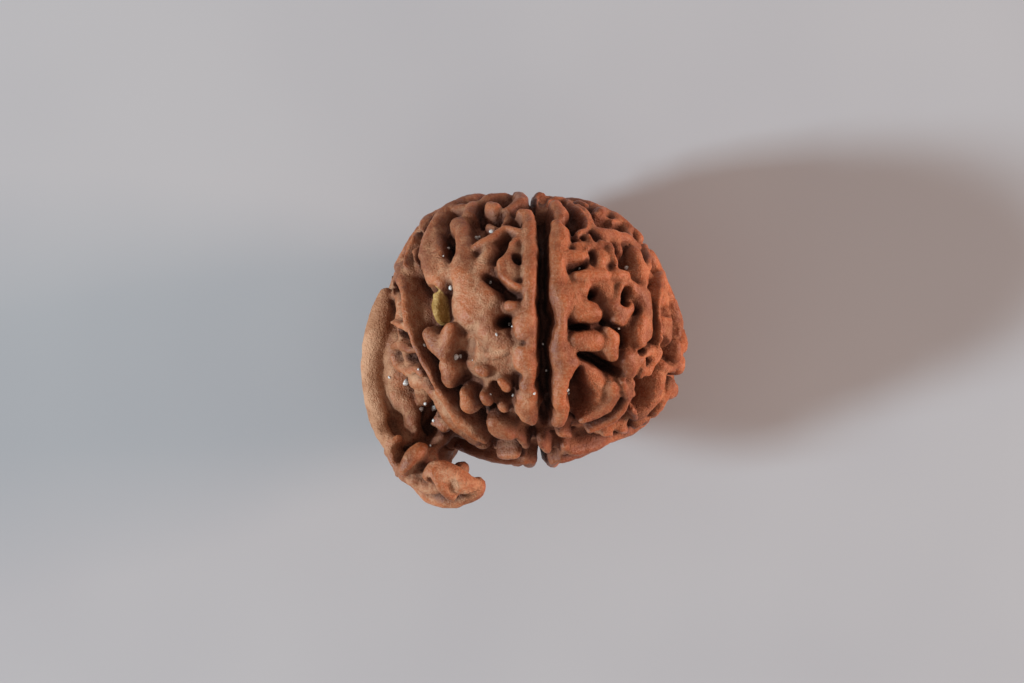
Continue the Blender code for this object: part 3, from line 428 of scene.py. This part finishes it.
def make_core():
    """The ellipsoid under the net, with the bulges and flats of its outline."""
    deselect()
    bpy.ops.mesh.primitive_uv_sphere_add(segments=96, ring_count=48, radius=1.0)
    core = bpy.context.object
    for vertex in core.data.vertices:
        push = 0.0
        for degrees, amount, narrowness in BULGES:
            toward = Vector((math.cos(math.radians(degrees)), math.sin(math.radians(degrees)), 0.0))
            push += amount * max(0.0, vertex.co.dot(toward)) ** narrowness
        vertex.co = Vector((vertex.co.x * (HALF_WIDTH + push), vertex.co.y * (HALF_LENGTH + push),
                            vertex.co.z * HALF_HEIGHT)) + CENTRE
    return core


def make_tube(stations):
    """A tapered tube through the stations, deeper than it is wide."""
    deselect()
    bpy.ops.curve.primitive_nurbs_path_add(location=CENTRE)
    tube = bpy.context.object
    curve = tube.data
    curve.splines.clear()
    curve.bevel_depth = 1.0
    curve.bevel_resolution = 5
    curve.use_fill_caps = True
    curve.resolution_u = 6
    spline = curve.splines.new("NURBS")
    spline.points.add(len(stations) - 1)
    spline.use_endpoint_u = True
    spline.order_u = 3
    for point, (x, y, height, thickness) in zip(spline.points, stations):
        point.co = (x, y, height / TUBE_DEPTH, 1.0)
        point.radius = thickness
    tube.scale.z = TUBE_DEPTH
    bpy.ops.object.convert(target="MESH")
    bpy.ops.object.transform_apply(location=True, rotation=True, scale=True)
    return tube


def make_body():
    """The core, the trunk and the wall between them as one smooth skin."""
    tubes = [make_tube(TRUNK), make_tube(WALL)]
    body = make_core()
    make_active(body)
    for tube in tubes:
        tube.select_set(True)
    bpy.ops.object.join()
    even_out(body, BODY_VOXEL, BODY_SMOOTHING)
    return body


def arrays(mesh):
    points = np.empty(len(mesh.vertices) * 3)
    mesh.vertices.foreach_get("co", points)
    normals = np.empty(len(mesh.vertices) * 3)
    mesh.vertex_normals.foreach_get("vector", normals)
    return points.reshape(-1, 3), normals.reshape(-1, 3)


def place(mesh, points):
    mesh.vertices.foreach_set("co", points.ravel())
    mesh.update()


class Skin:
    """A surface on which paths are laid and heights are measured."""

    def __init__(self, piece):
        self.points, self.normals = arrays(piece.data)
        faces = [tuple(p.vertices) for p in piece.data.polygons]
        self.tree = BVHTree.FromPolygons(self.points.tolist(), faces)
        self.seen = BVHTree.FromPolygons((self.points + self.normals * SEEN_LEVEL).tolist(), faces)

    def under_plan(self, x, y):
        """The point of the skin below what the eye sees at this plan position, or the nearest past the outline."""
        target = CENTRE + Vector((x, y, 0.0))
        found = self.seen.ray_cast(EYE, (target - EYE).normalized())[0]
        return self.nearest(found or target)

    def toward(self, direction):
        """The point of the skin in this direction from the centre, met from outside."""
        return self.tree.ray_cast(CENTRE + direction * 40.0, -direction)[0]

    def nearest(self, point):
        return self.tree.find_nearest(point)[0]

    def path(self, plan):
        """A plan path as points on the skin about every PATH_STEP, with their half-widths."""
        plan = [(x * PLAN_STEP, y * PLAN_STEP, w * PLAN_STEP) for x, y, w in plan]
        laid = []
        for (x0, y0, w0), (x1, y1, w1) in zip(plan, plan[1:] or plan):
            steps = max(1, round(math.hypot(x1 - x0, y1 - y0) / PATH_STEP))
            for step in range(steps):
                t = step / steps
                laid.append((self.under_plan(x0 + (x1 - x0) * t, y0 + (y1 - y0) * t), w0 + (w1 - w0) * t))
        x, y, w = plan[-1]
        laid.append((self.under_plan(x, y), w))
        return laid

    def height_of(self, points):
        """How far each point stands off this skin, and the place of the skin under it."""
        heights, feet = np.empty(len(points)), np.empty((len(points), 3))
        for i, point in enumerate(points.tolist()):
            foot, normal, _, _ = self.tree.find_nearest(point)
            heights[i] = (Vector(point) - foot).dot(normal)
            feet[i] = foot
        return heights, feet


def pole_frame():
    """Unit vectors across the pole: longitude 0 faces up, 90 faces left."""
    up = (Vector((0.0, 0.0, 1.0)) - POLE * POLE.z).normalized()
    return up, POLE.cross(up)


def at_longitude(longitude, latitude):
    up, left = pole_frame()
    lon, lat = math.radians(longitude), math.radians(latitude)
    return (POLE * math.sin(lat) + (up * math.cos(lon) + left * math.sin(lon)) * math.cos(lat)).normalized()


def groove_distance(points):
    """How far each point is from the plane half of the nearest groove, in millimetres."""
    up, left = (np.array(v) for v in pole_frame())
    away = points - np.array(CENTRE)
    across, along = away @ up, away @ left
    longitude = np.degrees(np.arctan2(along, across)) - MIDDLE_GROOVE_DEG
    spacing = 360.0 / FACES
    offset = (longitude + spacing / 2) % spacing - spacing / 2
    return np.hypot(across, along) * np.abs(np.sin(np.radians(offset)))


def hidden_flanks(skin, draw):
    """The paired ridges beside each groove, and the groove, past where the plan gives them."""
    ridges, grooves = [], []
    for number, (low, high) in FLANK_LATITUDES.items():
        longitude = MIDDLE_GROOVE_DEG - number * 360.0 / FACES
        count = round((high - low) / FLANK_STEP_DEG)
        latitudes = [low + (high - low) * i / count for i in range(count + 1)]
        grooves.append((0.8, [(skin.toward(at_longitude(longitude, lat)), 0.3) for lat in latitudes]))
        for side in (-1, 1):
            ridge = []
            for lat in latitudes:
                swing = FLANK_OFFSET * draw.uniform(0.9, 1.15)
                turn = math.degrees(swing / (HALF_WIDTH * max(0.2, math.cos(math.radians(lat)))))
                width = draw.uniform(0.52, 0.85) * min(1.0, 0.4 + math.cos(math.radians(lat)))
                ridge.append((skin.toward(at_longitude(longitude + side * turn, lat)), width))
            ridges.append((1.1, ridge))
    return ridges, grooves


def net_sites(skin, draw, drawn):
    """Evenly spread points of the hidden skin, clear of the drawn paths and of the grooves."""
    order = list(range(len(skin.points)))
    draw.shuffle(order)
    across, along, level = (skin.points - np.array(CENTRE)).T
    shown = (level > 0.0) & ((across / SHOWN_HALF_WIDTH) ** 2 + (along / SHOWN_HALF_LENGTH) ** 2 < 1.0)
    trunk = (across < -HALF_WIDTH) & (level > -TRUNK_BARE_BELOW)
    free = ~shown & ~trunk & (groove_distance(skin.points) > CLEAR_OF_GROOVE)
    for _, path in drawn:
        for point, width in path:
            near = np.linalg.norm(skin.points - np.array(point), axis=1) < width + CLEAR_OF_DRAWN
            free[near] = False
    sites = np.empty((0, 3))
    for index in order:
        if not free[index]:
            continue
        point = skin.points[index]
        if len(sites) == 0 or np.linalg.norm(sites - point, axis=1).min() > NET_SPACING:
            sites = np.vstack([sites, point])
    return sites


def hidden_net(skin, draw, drawn):
    """A short lobe at each site, turned at random, so that neighbours meet and pits stay between them."""
    lobes = []
    for site in net_sites(skin, draw, drawn):
        start = Vector(site)
        heading = Vector([draw.gauss(0.0, 1.0) for _ in range(3)])
        outward = (start - CENTRE).normalized()
        heading = (heading - outward * heading.dot(outward)).normalized()
        length = draw.uniform(*NET_LENGTH)
        width = draw.uniform(*NET_WIDTH)
        height = draw.uniform(*NET_HEIGHT)
        if start.x < CENTRE.x - HALF_WIDTH or start.y < CENTRE.y - HALF_LENGTH - 0.6:
            height *= NET_TRUNK_SHARE
        steps = 3
        path = [(skin.nearest(start + heading * length * (i / steps - 0.5)), width * draw.uniform(0.8, 1.15))
                for i in range(steps + 1)]
        lobes.append((height, path))
    return lobes


def raised(points, path, exponent):
    """The share of its full height that a path gives at each of the points near it, and which those are."""
    centres = np.array([p for p, _ in path])
    widths = np.array([w for _, w in path])
    reach = widths.max()
    low, high = centres.min(0) - reach, centres.max(0) + reach
    near = np.flatnonzero(((points > low) & (points < high)).all(axis=1))
    share = np.zeros(len(near))
    where = points[near]
    pairs = zip(centres, centres[1:], widths, widths[1:]) if len(path) > 1 else [(centres[0], centres[0], reach, reach)]
    for start, end, w0, w1 in pairs:
        run = end - start
        t = np.clip((where - start) @ run / max(run @ run, 1e-9), 0.0, 1.0)
        off = np.linalg.norm(where - start - t[:, None] * run, axis=1) / (w0 + (w1 - w0) * t)
        share = np.maximum(share, np.clip(1.0 - off ** exponent, 0.0, 1.0))
    return near, share


def wobbled(points):
    """The points shifted a little, so that the lobes' edges come out uneven."""
    shift = np.array([noise.noise_vector(Vector(p) * 0.9) + noise.noise_vector(Vector(p) * 2.1) * 0.5 for p in points])
    return points + WOBBLE * shift


def relief(points, ridges, pits):
    """The height of the skin over the smooth body: lobes melt together, then the pits are sunk."""
    points = wobbled(points)
    melted = np.zeros(len(points))
    for height, path in ridges:
        near, share = raised(points, [(point, width * LOBE_FOOT) for point, width in path], LOBE_EXPONENT)
        melted[near] += np.expm1(MELT * (height + GROUND_DROP) * np.sqrt(share))
    sunk = np.zeros(len(points))
    for depth, path in pits:
        near, share = raised(points, [(point, width * PIT_MOUTH) for point, width in path], PIT_EXPONENT)
        sunk[near] = np.maximum(sunk[near], depth * share)
    return np.log1p(melted) / MELT - GROUND_DROP - sunk


def undulation(points):
    """Slow unevenness of the whole skin."""
    return np.array([0.16 * noise.noise(Vector(p) * 0.45) + 0.07 * noise.noise(Vector(p) * 1.3) for p in points])


def pebbling(points):
    """The fine lumps that the solid is too coarse for."""
    return np.array([0.045 * noise.noise(Vector(p) * 2.3) + 0.022 * noise.noise(Vector(p) * 5.5) for p in points])


def settle(points, normals, height):
    """The lobes that the seed lies on are worn to one height, and no other one reaches the ground."""
    below = points[:, 2] < CENTRE.z
    radius = np.hypot(points[:, 0], points[:, 1] * 1.15)
    share = np.clip((SEAT_RADIUS + SEAT_FADE - radius) / SEAT_FADE, 0.0, 1.0)
    share = np.where(below, share * share * (3 - 2 * share), 0.0)
    room = (points[:, 2] - SEAT_CLEARANCE) / np.maximum(-normals[:, 2], 0.2)
    height = np.where(below & (radius > SEAT_RADIUS), np.minimum(height, room), height)
    return height * (1.0 - share) + SEAT_HEIGHT * share


def smoothstep(low, high, value):
    t = np.clip((value - low) / (high - low), 0.0, 1.0)
    return t * t * (3 - 2 * t)


def grow_net(body, skin):
    """Raises the net on a finer copy of the body, with each lobe's upper part swollen over its foot."""
    draw = random.Random(SEED)
    plan_ridges = GROOVE_FLANKS + LEFT_FACE + LEFT_RIM + RIGHT_FACE + RIGHT_RIM + OUTER_LUMPS + TRUNK_LUMPS + [FLAKE]
    ridges = [(height, skin.path(plan)) for height, plan in plan_ridges]
    pits = [(depth, skin.path(plan)) for depth, plan in GROOVES + PITS]
    flanks, hidden_grooves = hidden_flanks(skin, draw)
    ridges += flanks
    pits += hidden_grooves
    ridges += hidden_net(skin, draw, ridges + pits)
    ridges += [(height, skin.path(plan)) for height, plan in SWELLINGS]
    even_out(body, FINE_VOXEL, FINE_SMOOTHING)
    finer = body.modifiers.new("Finer", "SUBSURF")
    finer.levels = finer.render_levels = 1
    apply_modifiers(body)
    points, normals = arrays(body.data)
    swell = FACE_SWELL * np.clip(groove_distance(points) / 4.0, 0.0, 1.0)
    height = settle(points, normals, relief(points, ridges, pits) + undulation(points) + swell)
    place(body.data, points + normals * height[:, None])
    raised_points, facing = arrays(body.data)
    sideways = facing - normals * (facing * normals).sum(axis=1)[:, None]
    lean = OVERHANG * smoothstep(OVERHANG_FROM, OVERHANG_FULL, height)
    place(body.data, raised_points + sideways * lean[:, None])
    even_out(body, SKIN_VOXEL, SKIN_SMOOTHING)
    thin_out(body, SKIN_TRIANGLES)
    points, normals = arrays(body.data)
    points += normals * pebbling(points)[:, None]
    points[:, 2] = np.maximum(points[:, 2], 0.0)
    place(body.data, points)
    return body


def spread_out(count):
    """Even directions over a half ball, denser at its top, where more of the sky's light comes from."""
    turn = math.pi * (3.0 - math.sqrt(5.0))
    directions = []
    for i in range(count):
        across = math.sqrt((i + 0.5) / count)
        directions.append((across * math.cos(i * turn), across * math.sin(i * turn), math.sqrt(1.0 - across * across)))
    return directions


def openness(seed):
    """The shares of the air over each point of the skin that no neighbour hides: in all, and close by."""
    skin = Skin(seed)
    rays = spread_out(OPEN_RAYS)
    far, close = np.ones(len(skin.points)), np.ones(len(skin.points))
    for i, (point, normal) in enumerate(zip(skin.points.tolist(), skin.normals.tolist())):
        normal = Vector(normal)
        side = normal.orthogonal().normalized()
        other = normal.cross(side)
        start = Vector(point) + normal * 0.03
        for x, y, z in rays:
            met = skin.tree.ray_cast(start, side * x + other * y + normal * z, OPEN_REACH)[3]
            if met is not None:
                far[i] -= 1.0 / OPEN_RAYS
                if met < GAP_REACH:
                    close[i] -= 1.0 / OPEN_RAYS
    return evened(seed.data, far, 2), evened(seed.data, close, 1)


def evened(mesh, values, rounds):
    """The values averaged with their neighbours' this many times."""
    edges = np.empty(len(mesh.edges) * 2, dtype=np.int64)
    mesh.edges.foreach_get("vertices", edges)
    first, second = edges.reshape(-1, 2).T
    count = len(values)
    links = np.bincount(first, minlength=count) + np.bincount(second, minlength=count)
    for _ in range(rounds):
        total = np.bincount(first, values[second], count) + np.bincount(second, values[first], count)
        values = 0.5 * values + 0.5 * total / links
    return values


def note(mesh, name, values):
    """Keeps a value for each vertex, for the finish to read."""
    attribute = mesh.attributes.new(name, "FLOAT", "POINT")
    attribute.data.foreach_set("value", np.ascontiguousarray(values, dtype=np.float32))


def note_wear_and_shade(seed, skin):
    """What the finish needs to know of each spot: how high it stands, how open it is, which sets its painted shade, and
    where the flake is.
    """
    points, _ = arrays(seed.data)
    height, feet = skin.height_of(points)
    open_air, open_gap = openness(seed)
    near, share = raised(feet, skin.path([(x, y, w * 1.5) for x, y, w in FLAKE[1]]), 2.0)
    flake = np.zeros(len(points))
    flake[near] = share
    note(seed.data, "standing", height)
    note(seed.data, "crown", height - evened(seed.data, height, 18))
    note(seed.data, "open_air", open_air)
    note(seed.data, "open_gap", open_gap)
    note(seed.data, "flake", flake)


def scatter_crumbs(seed, draw):
    """Small broken crystals, each resting on the skin where the photograph shows one."""
    skin = Skin(seed)
    crumbs = []
    for x, y, size in CRUMBS:
        target = CENTRE + Vector((x, y, 0.0)) * PLAN_STEP
        spot = skin.tree.ray_cast(EYE, (target - EYE).normalized())[0]
        deselect()
        bpy.ops.mesh.primitive_ico_sphere_add(subdivisions=2, radius=size * PLAN_STEP * 0.5, location=spot)
        crumb = bpy.context.object
        crumb.scale = [draw.uniform(0.6, 1.3) for _ in range(3)]
        crumb.rotation_euler = [draw.uniform(0.0, math.tau) for _ in range(3)]
        bpy.ops.object.transform_apply(location=True, rotation=True, scale=True)
        shift = Vector([draw.uniform(0.0, 50.0) for _ in range(3)])
        for vertex in crumb.data.vertices:
            away = vertex.co - spot
            vertex.co = spot + away * (1.0 + 0.5 * noise.noise(vertex.co * 6.0 + shift))
        crumbs.append(crumb)
    make_active(crumbs[0])
    for crumb in crumbs[1:]:
        crumb.select_set(True)
    bpy.ops.object.join()
    bpy.ops.object.transform_apply(location=True, rotation=True, scale=True)
    return crumbs[0]


class Value:
    """A node's output that arithmetic can be written with."""

    def __init__(self, finish, socket):
        self.finish = finish
        self.socket = socket

    def maths(self, operation, *others):
        inputs = {i: value for i, value in enumerate(others)}
        return self.finish.node("ShaderNodeMath", {"operation": operation}, inputs)

    def __add__(self, other):
        return self.maths("ADD", self, other)

    __radd__ = __add__

    def __sub__(self, other):
        return self.maths("SUBTRACT", self, other)

    def __rsub__(self, other):
        return self.maths("SUBTRACT", other, self)

    def __mul__(self, other):
        return self.maths("MULTIPLY", self, other)

    __rmul__ = __mul__

    def __truediv__(self, other):
        return self.maths("DIVIDE", self, other)

    def __pow__(self, other):
        return self.maths("POWER", self, other)

    def at_most(self, other):
        return self.maths("MINIMUM", self, other)

    def at_least(self, other):
        return self.maths("MAXIMUM", self, other)

    def between(self, low, high):
        """0 below low, 1 above high, and a soft rise from one to the other."""
        settings = {"interpolation_type": "SMOOTHSTEP"}
        return self.finish.node("ShaderNodeMapRange", settings, {0: self, 1: low, 2: high, 3: 0.0, 4: 1.0})


class Finish:
    """One material and the nodes that it is made of."""

    def __init__(self, name):
        self.material = bpy.data.materials.new(name)
        self.material.use_nodes = True
        self.tree = self.material.node_tree
        self.shader = self.tree.nodes["Principled BSDF"]

    def node(self, kind, settings=None, inputs=None, output=0):
        """A node with its settings made first and then its inputs, each a number, a colour or another's output."""
        made = self.tree.nodes.new(kind)
        for name, value in (settings or {}).items():
            setattr(made, name, value)
        for name, value in (inputs or {}).items():
            self.feed(made.inputs[name], value)
        return Value(self, made.outputs[output])

    def feed(self, socket, value):
        if isinstance(value, Value):
            self.tree.links.new(value.socket, socket)
        else:
            socket.default_value = value

    def attribute(self, name):
        return self.node("ShaderNodeAttribute", {"attribute_name": name}, output="Fac")

    def position(self):
        """The place on the piece, in millimetres."""
        place_on = self.node("ShaderNodeTexCoord", output="Object")
        return self.node("ShaderNodeVectorMath", {"operation": "SCALE"}, {0: place_on, "Scale": 1.0 / MM})

    def grain(self, where, per_mm, detail=3.0, roughness=0.55):
        inputs = {"Vector": where, "Scale": per_mm, "Detail": detail, "Roughness": roughness}
        return self.node("ShaderNodeTexNoise", {"noise_dimensions": "3D"}, inputs, "Fac")

    def mix(self, share, first, second):
        settings = {"data_type": "RGBA", "clamp_factor": True}
        return self.node("ShaderNodeMix", settings, {0: share, 6: first, 7: second}, 2)


def colour(red, green, blue):
    return (red, green, blue, 1.0)


def shell_finish():
    """Woody shell: polished orange-brown crowns, pinkish dust on the slopes and one yellow flake, with painted shade
    that darkens hollows and gaps and paints the pits near-black, and painted light that pales the left side and far rim
    and lifts the shade on the wall and the right flank.
    """
    finish = Finish("dry_rudraksha_shell")
    where = finish.position()
    standing = finish.attribute("standing")
    crown = finish.attribute("crown")
    open_air = finish.attribute("open_air")
    open_gap = finish.attribute("open_gap")
    across = finish.node("ShaderNodeSeparateXYZ", None, {0: where}, "X")
    patches = finish.grain(where, 0.32, 3.0)
    mottle = finish.grain(where, 1.3, 4.0)
    speckle = finish.grain(where, 3.6, 2.0, 0.6)
    grit = finish.grain(where, 7.5, 2.0, 0.6)

    worn = finish.mix(patches.between(0.35, 0.65), colour(0.23, 0.052, 0.013), colour(0.46, 0.114, 0.027))
    dust = finish.mix(patches.between(0.3, 0.7), colour(0.43, 0.188, 0.087), colour(0.64, 0.335, 0.185))
    bare = (crown.between(-0.02, 0.15) * 0.75 + standing.between(0.6, 0.95) * 0.45).at_most(1.0)
    # Painted light: the left half, where the window lamp falls, gets more of the pale dust colour than the right, over
    # the real mottled dust
    painted_key_light_side = 1.0 - across.between(-1.2, 2.5) * 0.6
    dust_and_key_light_side = (0.3 + mottle.between(0.4, 0.62) * 0.7) * (1.0 - bare * 0.85) * painted_key_light_side
    # Painted light: the far left rim and trunk are painted paler, and their painted shade weaker, as if the window lamp
    # lit them
    painted_light_far_rim = 1.0 - across.between(-12.0, -10.0)
    # Painted light: the painted shade is eased on the wall between the trunk and the seed
    shade_eased_wall_side = 1.0 - across.between(-10.0, -7.0)
    specks = (grit * 0.55 + speckle * 0.45).between(0.45, 0.58)
    skin_colour = finish.mix((dust_and_key_light_side + specks * 0.34 + painted_light_far_rim * 0.4).at_most(0.97), worn, dust)
    # Painted light: the painted shade is mostly lifted on the right outer flank, as if a warm lamp lit it from the side
    painted_light_right_flank = across.between(6.5, 10.0)
    # Painted shade: the less open a spot is to the air, the darker red-brown it is painted
    shade = (1.0 - open_air.between(0.3, 1.1)) * (1.0 - painted_light_right_flank * 0.8 - shade_eased_wall_side * 0.5 - painted_light_far_rim * 0.4)
    painted_hollow_shade = finish.mix(shade * 0.9, skin_colour, colour(0.12, 0.028, 0.01))
    # Painted shade: narrow gaps are painted near-black brown
    painted_gap_shade = 1.0 - open_gap.between(0.35, 0.95)
    sunk = finish.mix(painted_gap_shade * 0.85, painted_hollow_shade, colour(0.07, 0.018, 0.008))
    # Painted shade: low spots that little air reaches are painted near-black
    pit = (1.0 - open_air.between(0.05, 0.35)) * (1.0 - standing.between(0.0, 0.6))
    dark = finish.mix(pit, sunk, colour(0.03, 0.012, 0.007))
    flake = finish.attribute("flake").between(0.25, 0.6)
    flake_colour = finish.mix(mottle.between(0.4, 0.6), colour(0.33, 0.17, 0.03), colour(0.55, 0.33, 0.1))
    coloured = finish.mix(flake, dark, flake_colour)
    finish.feed(finish.shader.inputs["Base Color"], coloured)

    rough = 0.72 - bare * 0.26 + (grit - 0.5) * 0.4
    finish.feed(finish.shader.inputs["Roughness"], rough)
    finish.shader.inputs["Specular IOR Level"].default_value = 0.45
    surface = mottle * 0.5 + (speckle * 0.5 + grit * 0.5) * (1.0 - bare * 0.55)
    bump = finish.node("ShaderNodeBump", None, {"Strength": 1.0, "Distance": 0.26 * MM, "Height": surface}, "Normal")
    finish.feed(finish.shader.inputs["Normal"], bump)
    return finish.material


def crumb_finish():
    """White crystal, frosted from greyish to white."""
    finish = Finish("white_crumbs")
    frost = finish.grain(finish.position(), 9.0)
    tone = finish.mix(frost.between(0.35, 0.65), colour(0.52, 0.46, 0.4), colour(0.85, 0.83, 0.8))
    finish.feed(finish.shader.inputs["Base Color"], tone)
    finish.shader.inputs["Roughness"].default_value = 0.35
    return finish.material


def floor_finish():
    """Plain pale grey surface with a hardly visible mottle."""
    finish = Finish("pale_floor")
    cloud = finish.grain(finish.position(), 0.03, 2.0)
    tone = finish.mix(cloud.between(0.3, 0.7), colour(0.485, 0.49, 0.505), colour(0.515, 0.52, 0.53))
    finish.feed(finish.shader.inputs["Base Color"], tone)
    finish.shader.inputs["Roughness"].default_value = 0.9
    finish.shader.inputs["Specular IOR Level"].default_value = 0.1
    return finish.material


def to_metres(piece, name, material):
    piece.data.transform(Matrix.Scale(MM, 4))
    piece.name = piece.data.name = name
    piece.data.materials.clear()
    piece.data.materials.append(material)
    make_active(piece)
    bpy.ops.object.shade_smooth()
    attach(piece, "root")


def make_seed():
    body = make_body()
    skin = Skin(body)
    seed = grow_net(body, skin)
    note_wear_and_shade(seed, skin)
    crumbs = scatter_crumbs(seed, random.Random(SEED))
    to_metres(seed, "seed_with_net", shell_finish())
    to_metres(crumbs, "white_crumbs", crumb_finish())
    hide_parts(SEED_NODE)


def make_floor():
    deselect()
    bpy.ops.mesh.primitive_plane_add(size=3.0)
    floor = bpy.context.object
    floor.name = "floor"
    floor.data.materials.append(floor_finish())


def aim(thing, spot):
    thing.rotation_euler = (spot - thing.location).to_track_quat("-Z", "Y").to_euler()


def add_light(name, azimuth, elevation, distance, size, watts, tint):
    """A square soft light. Azimuth 0 is the picture's right and 90 its top."""
    light = bpy.data.lights.new(name, "AREA")
    light.shape = "SQUARE"
    light.size = size
    light.energy = watts
    light.color = tint
    lamp = bpy.data.objects.new(name, light)
    bpy.context.scene.collection.objects.link(lamp)
    turn, rise = math.radians(azimuth), math.radians(elevation)
    middle = CENTRE * MM
    direction = Vector((math.cos(turn) * math.cos(rise), math.sin(turn) * math.cos(rise), math.sin(rise)))
    lamp.location = middle + direction * distance
    aim(lamp, middle)


def light_scene():
    add_light("window", 190.0, 27.0, 1.5, 0.2, 23.0, (0.74, 0.9, 1.0))
    add_light("warm_bounce", 6.0, 12.0, 1.0, 0.3, 10.0, (1.0, 0.68, 0.55))
    world = bpy.data.worlds.new("studio")
    world.use_nodes = True
    bpy.context.scene.world = world
    sky = world.node_tree.nodes["Background"]
    sky.inputs["Color"].default_value = colour(1.0, 0.88, 0.84)
    sky.inputs["Strength"].default_value = 0.4


def add_camera():
    """Straight above the seed, as the photograph was taken."""
    camera = bpy.data.cameras.new("camera")
    camera.sensor_width = 36.0
    camera.lens = camera.sensor_width * (EYE.z - CENTRE.z) / VIEW_WIDTH
    camera.clip_start = 0.01
    eye = bpy.data.objects.new("camera", camera)
    eye.location = EYE * MM
    bpy.context.scene.collection.objects.link(eye)
    bpy.context.scene.camera = eye
    bpy.context.scene.view_settings.view_transform = "Standard"


make_seed()
make_floor()
light_scene()
add_camera()
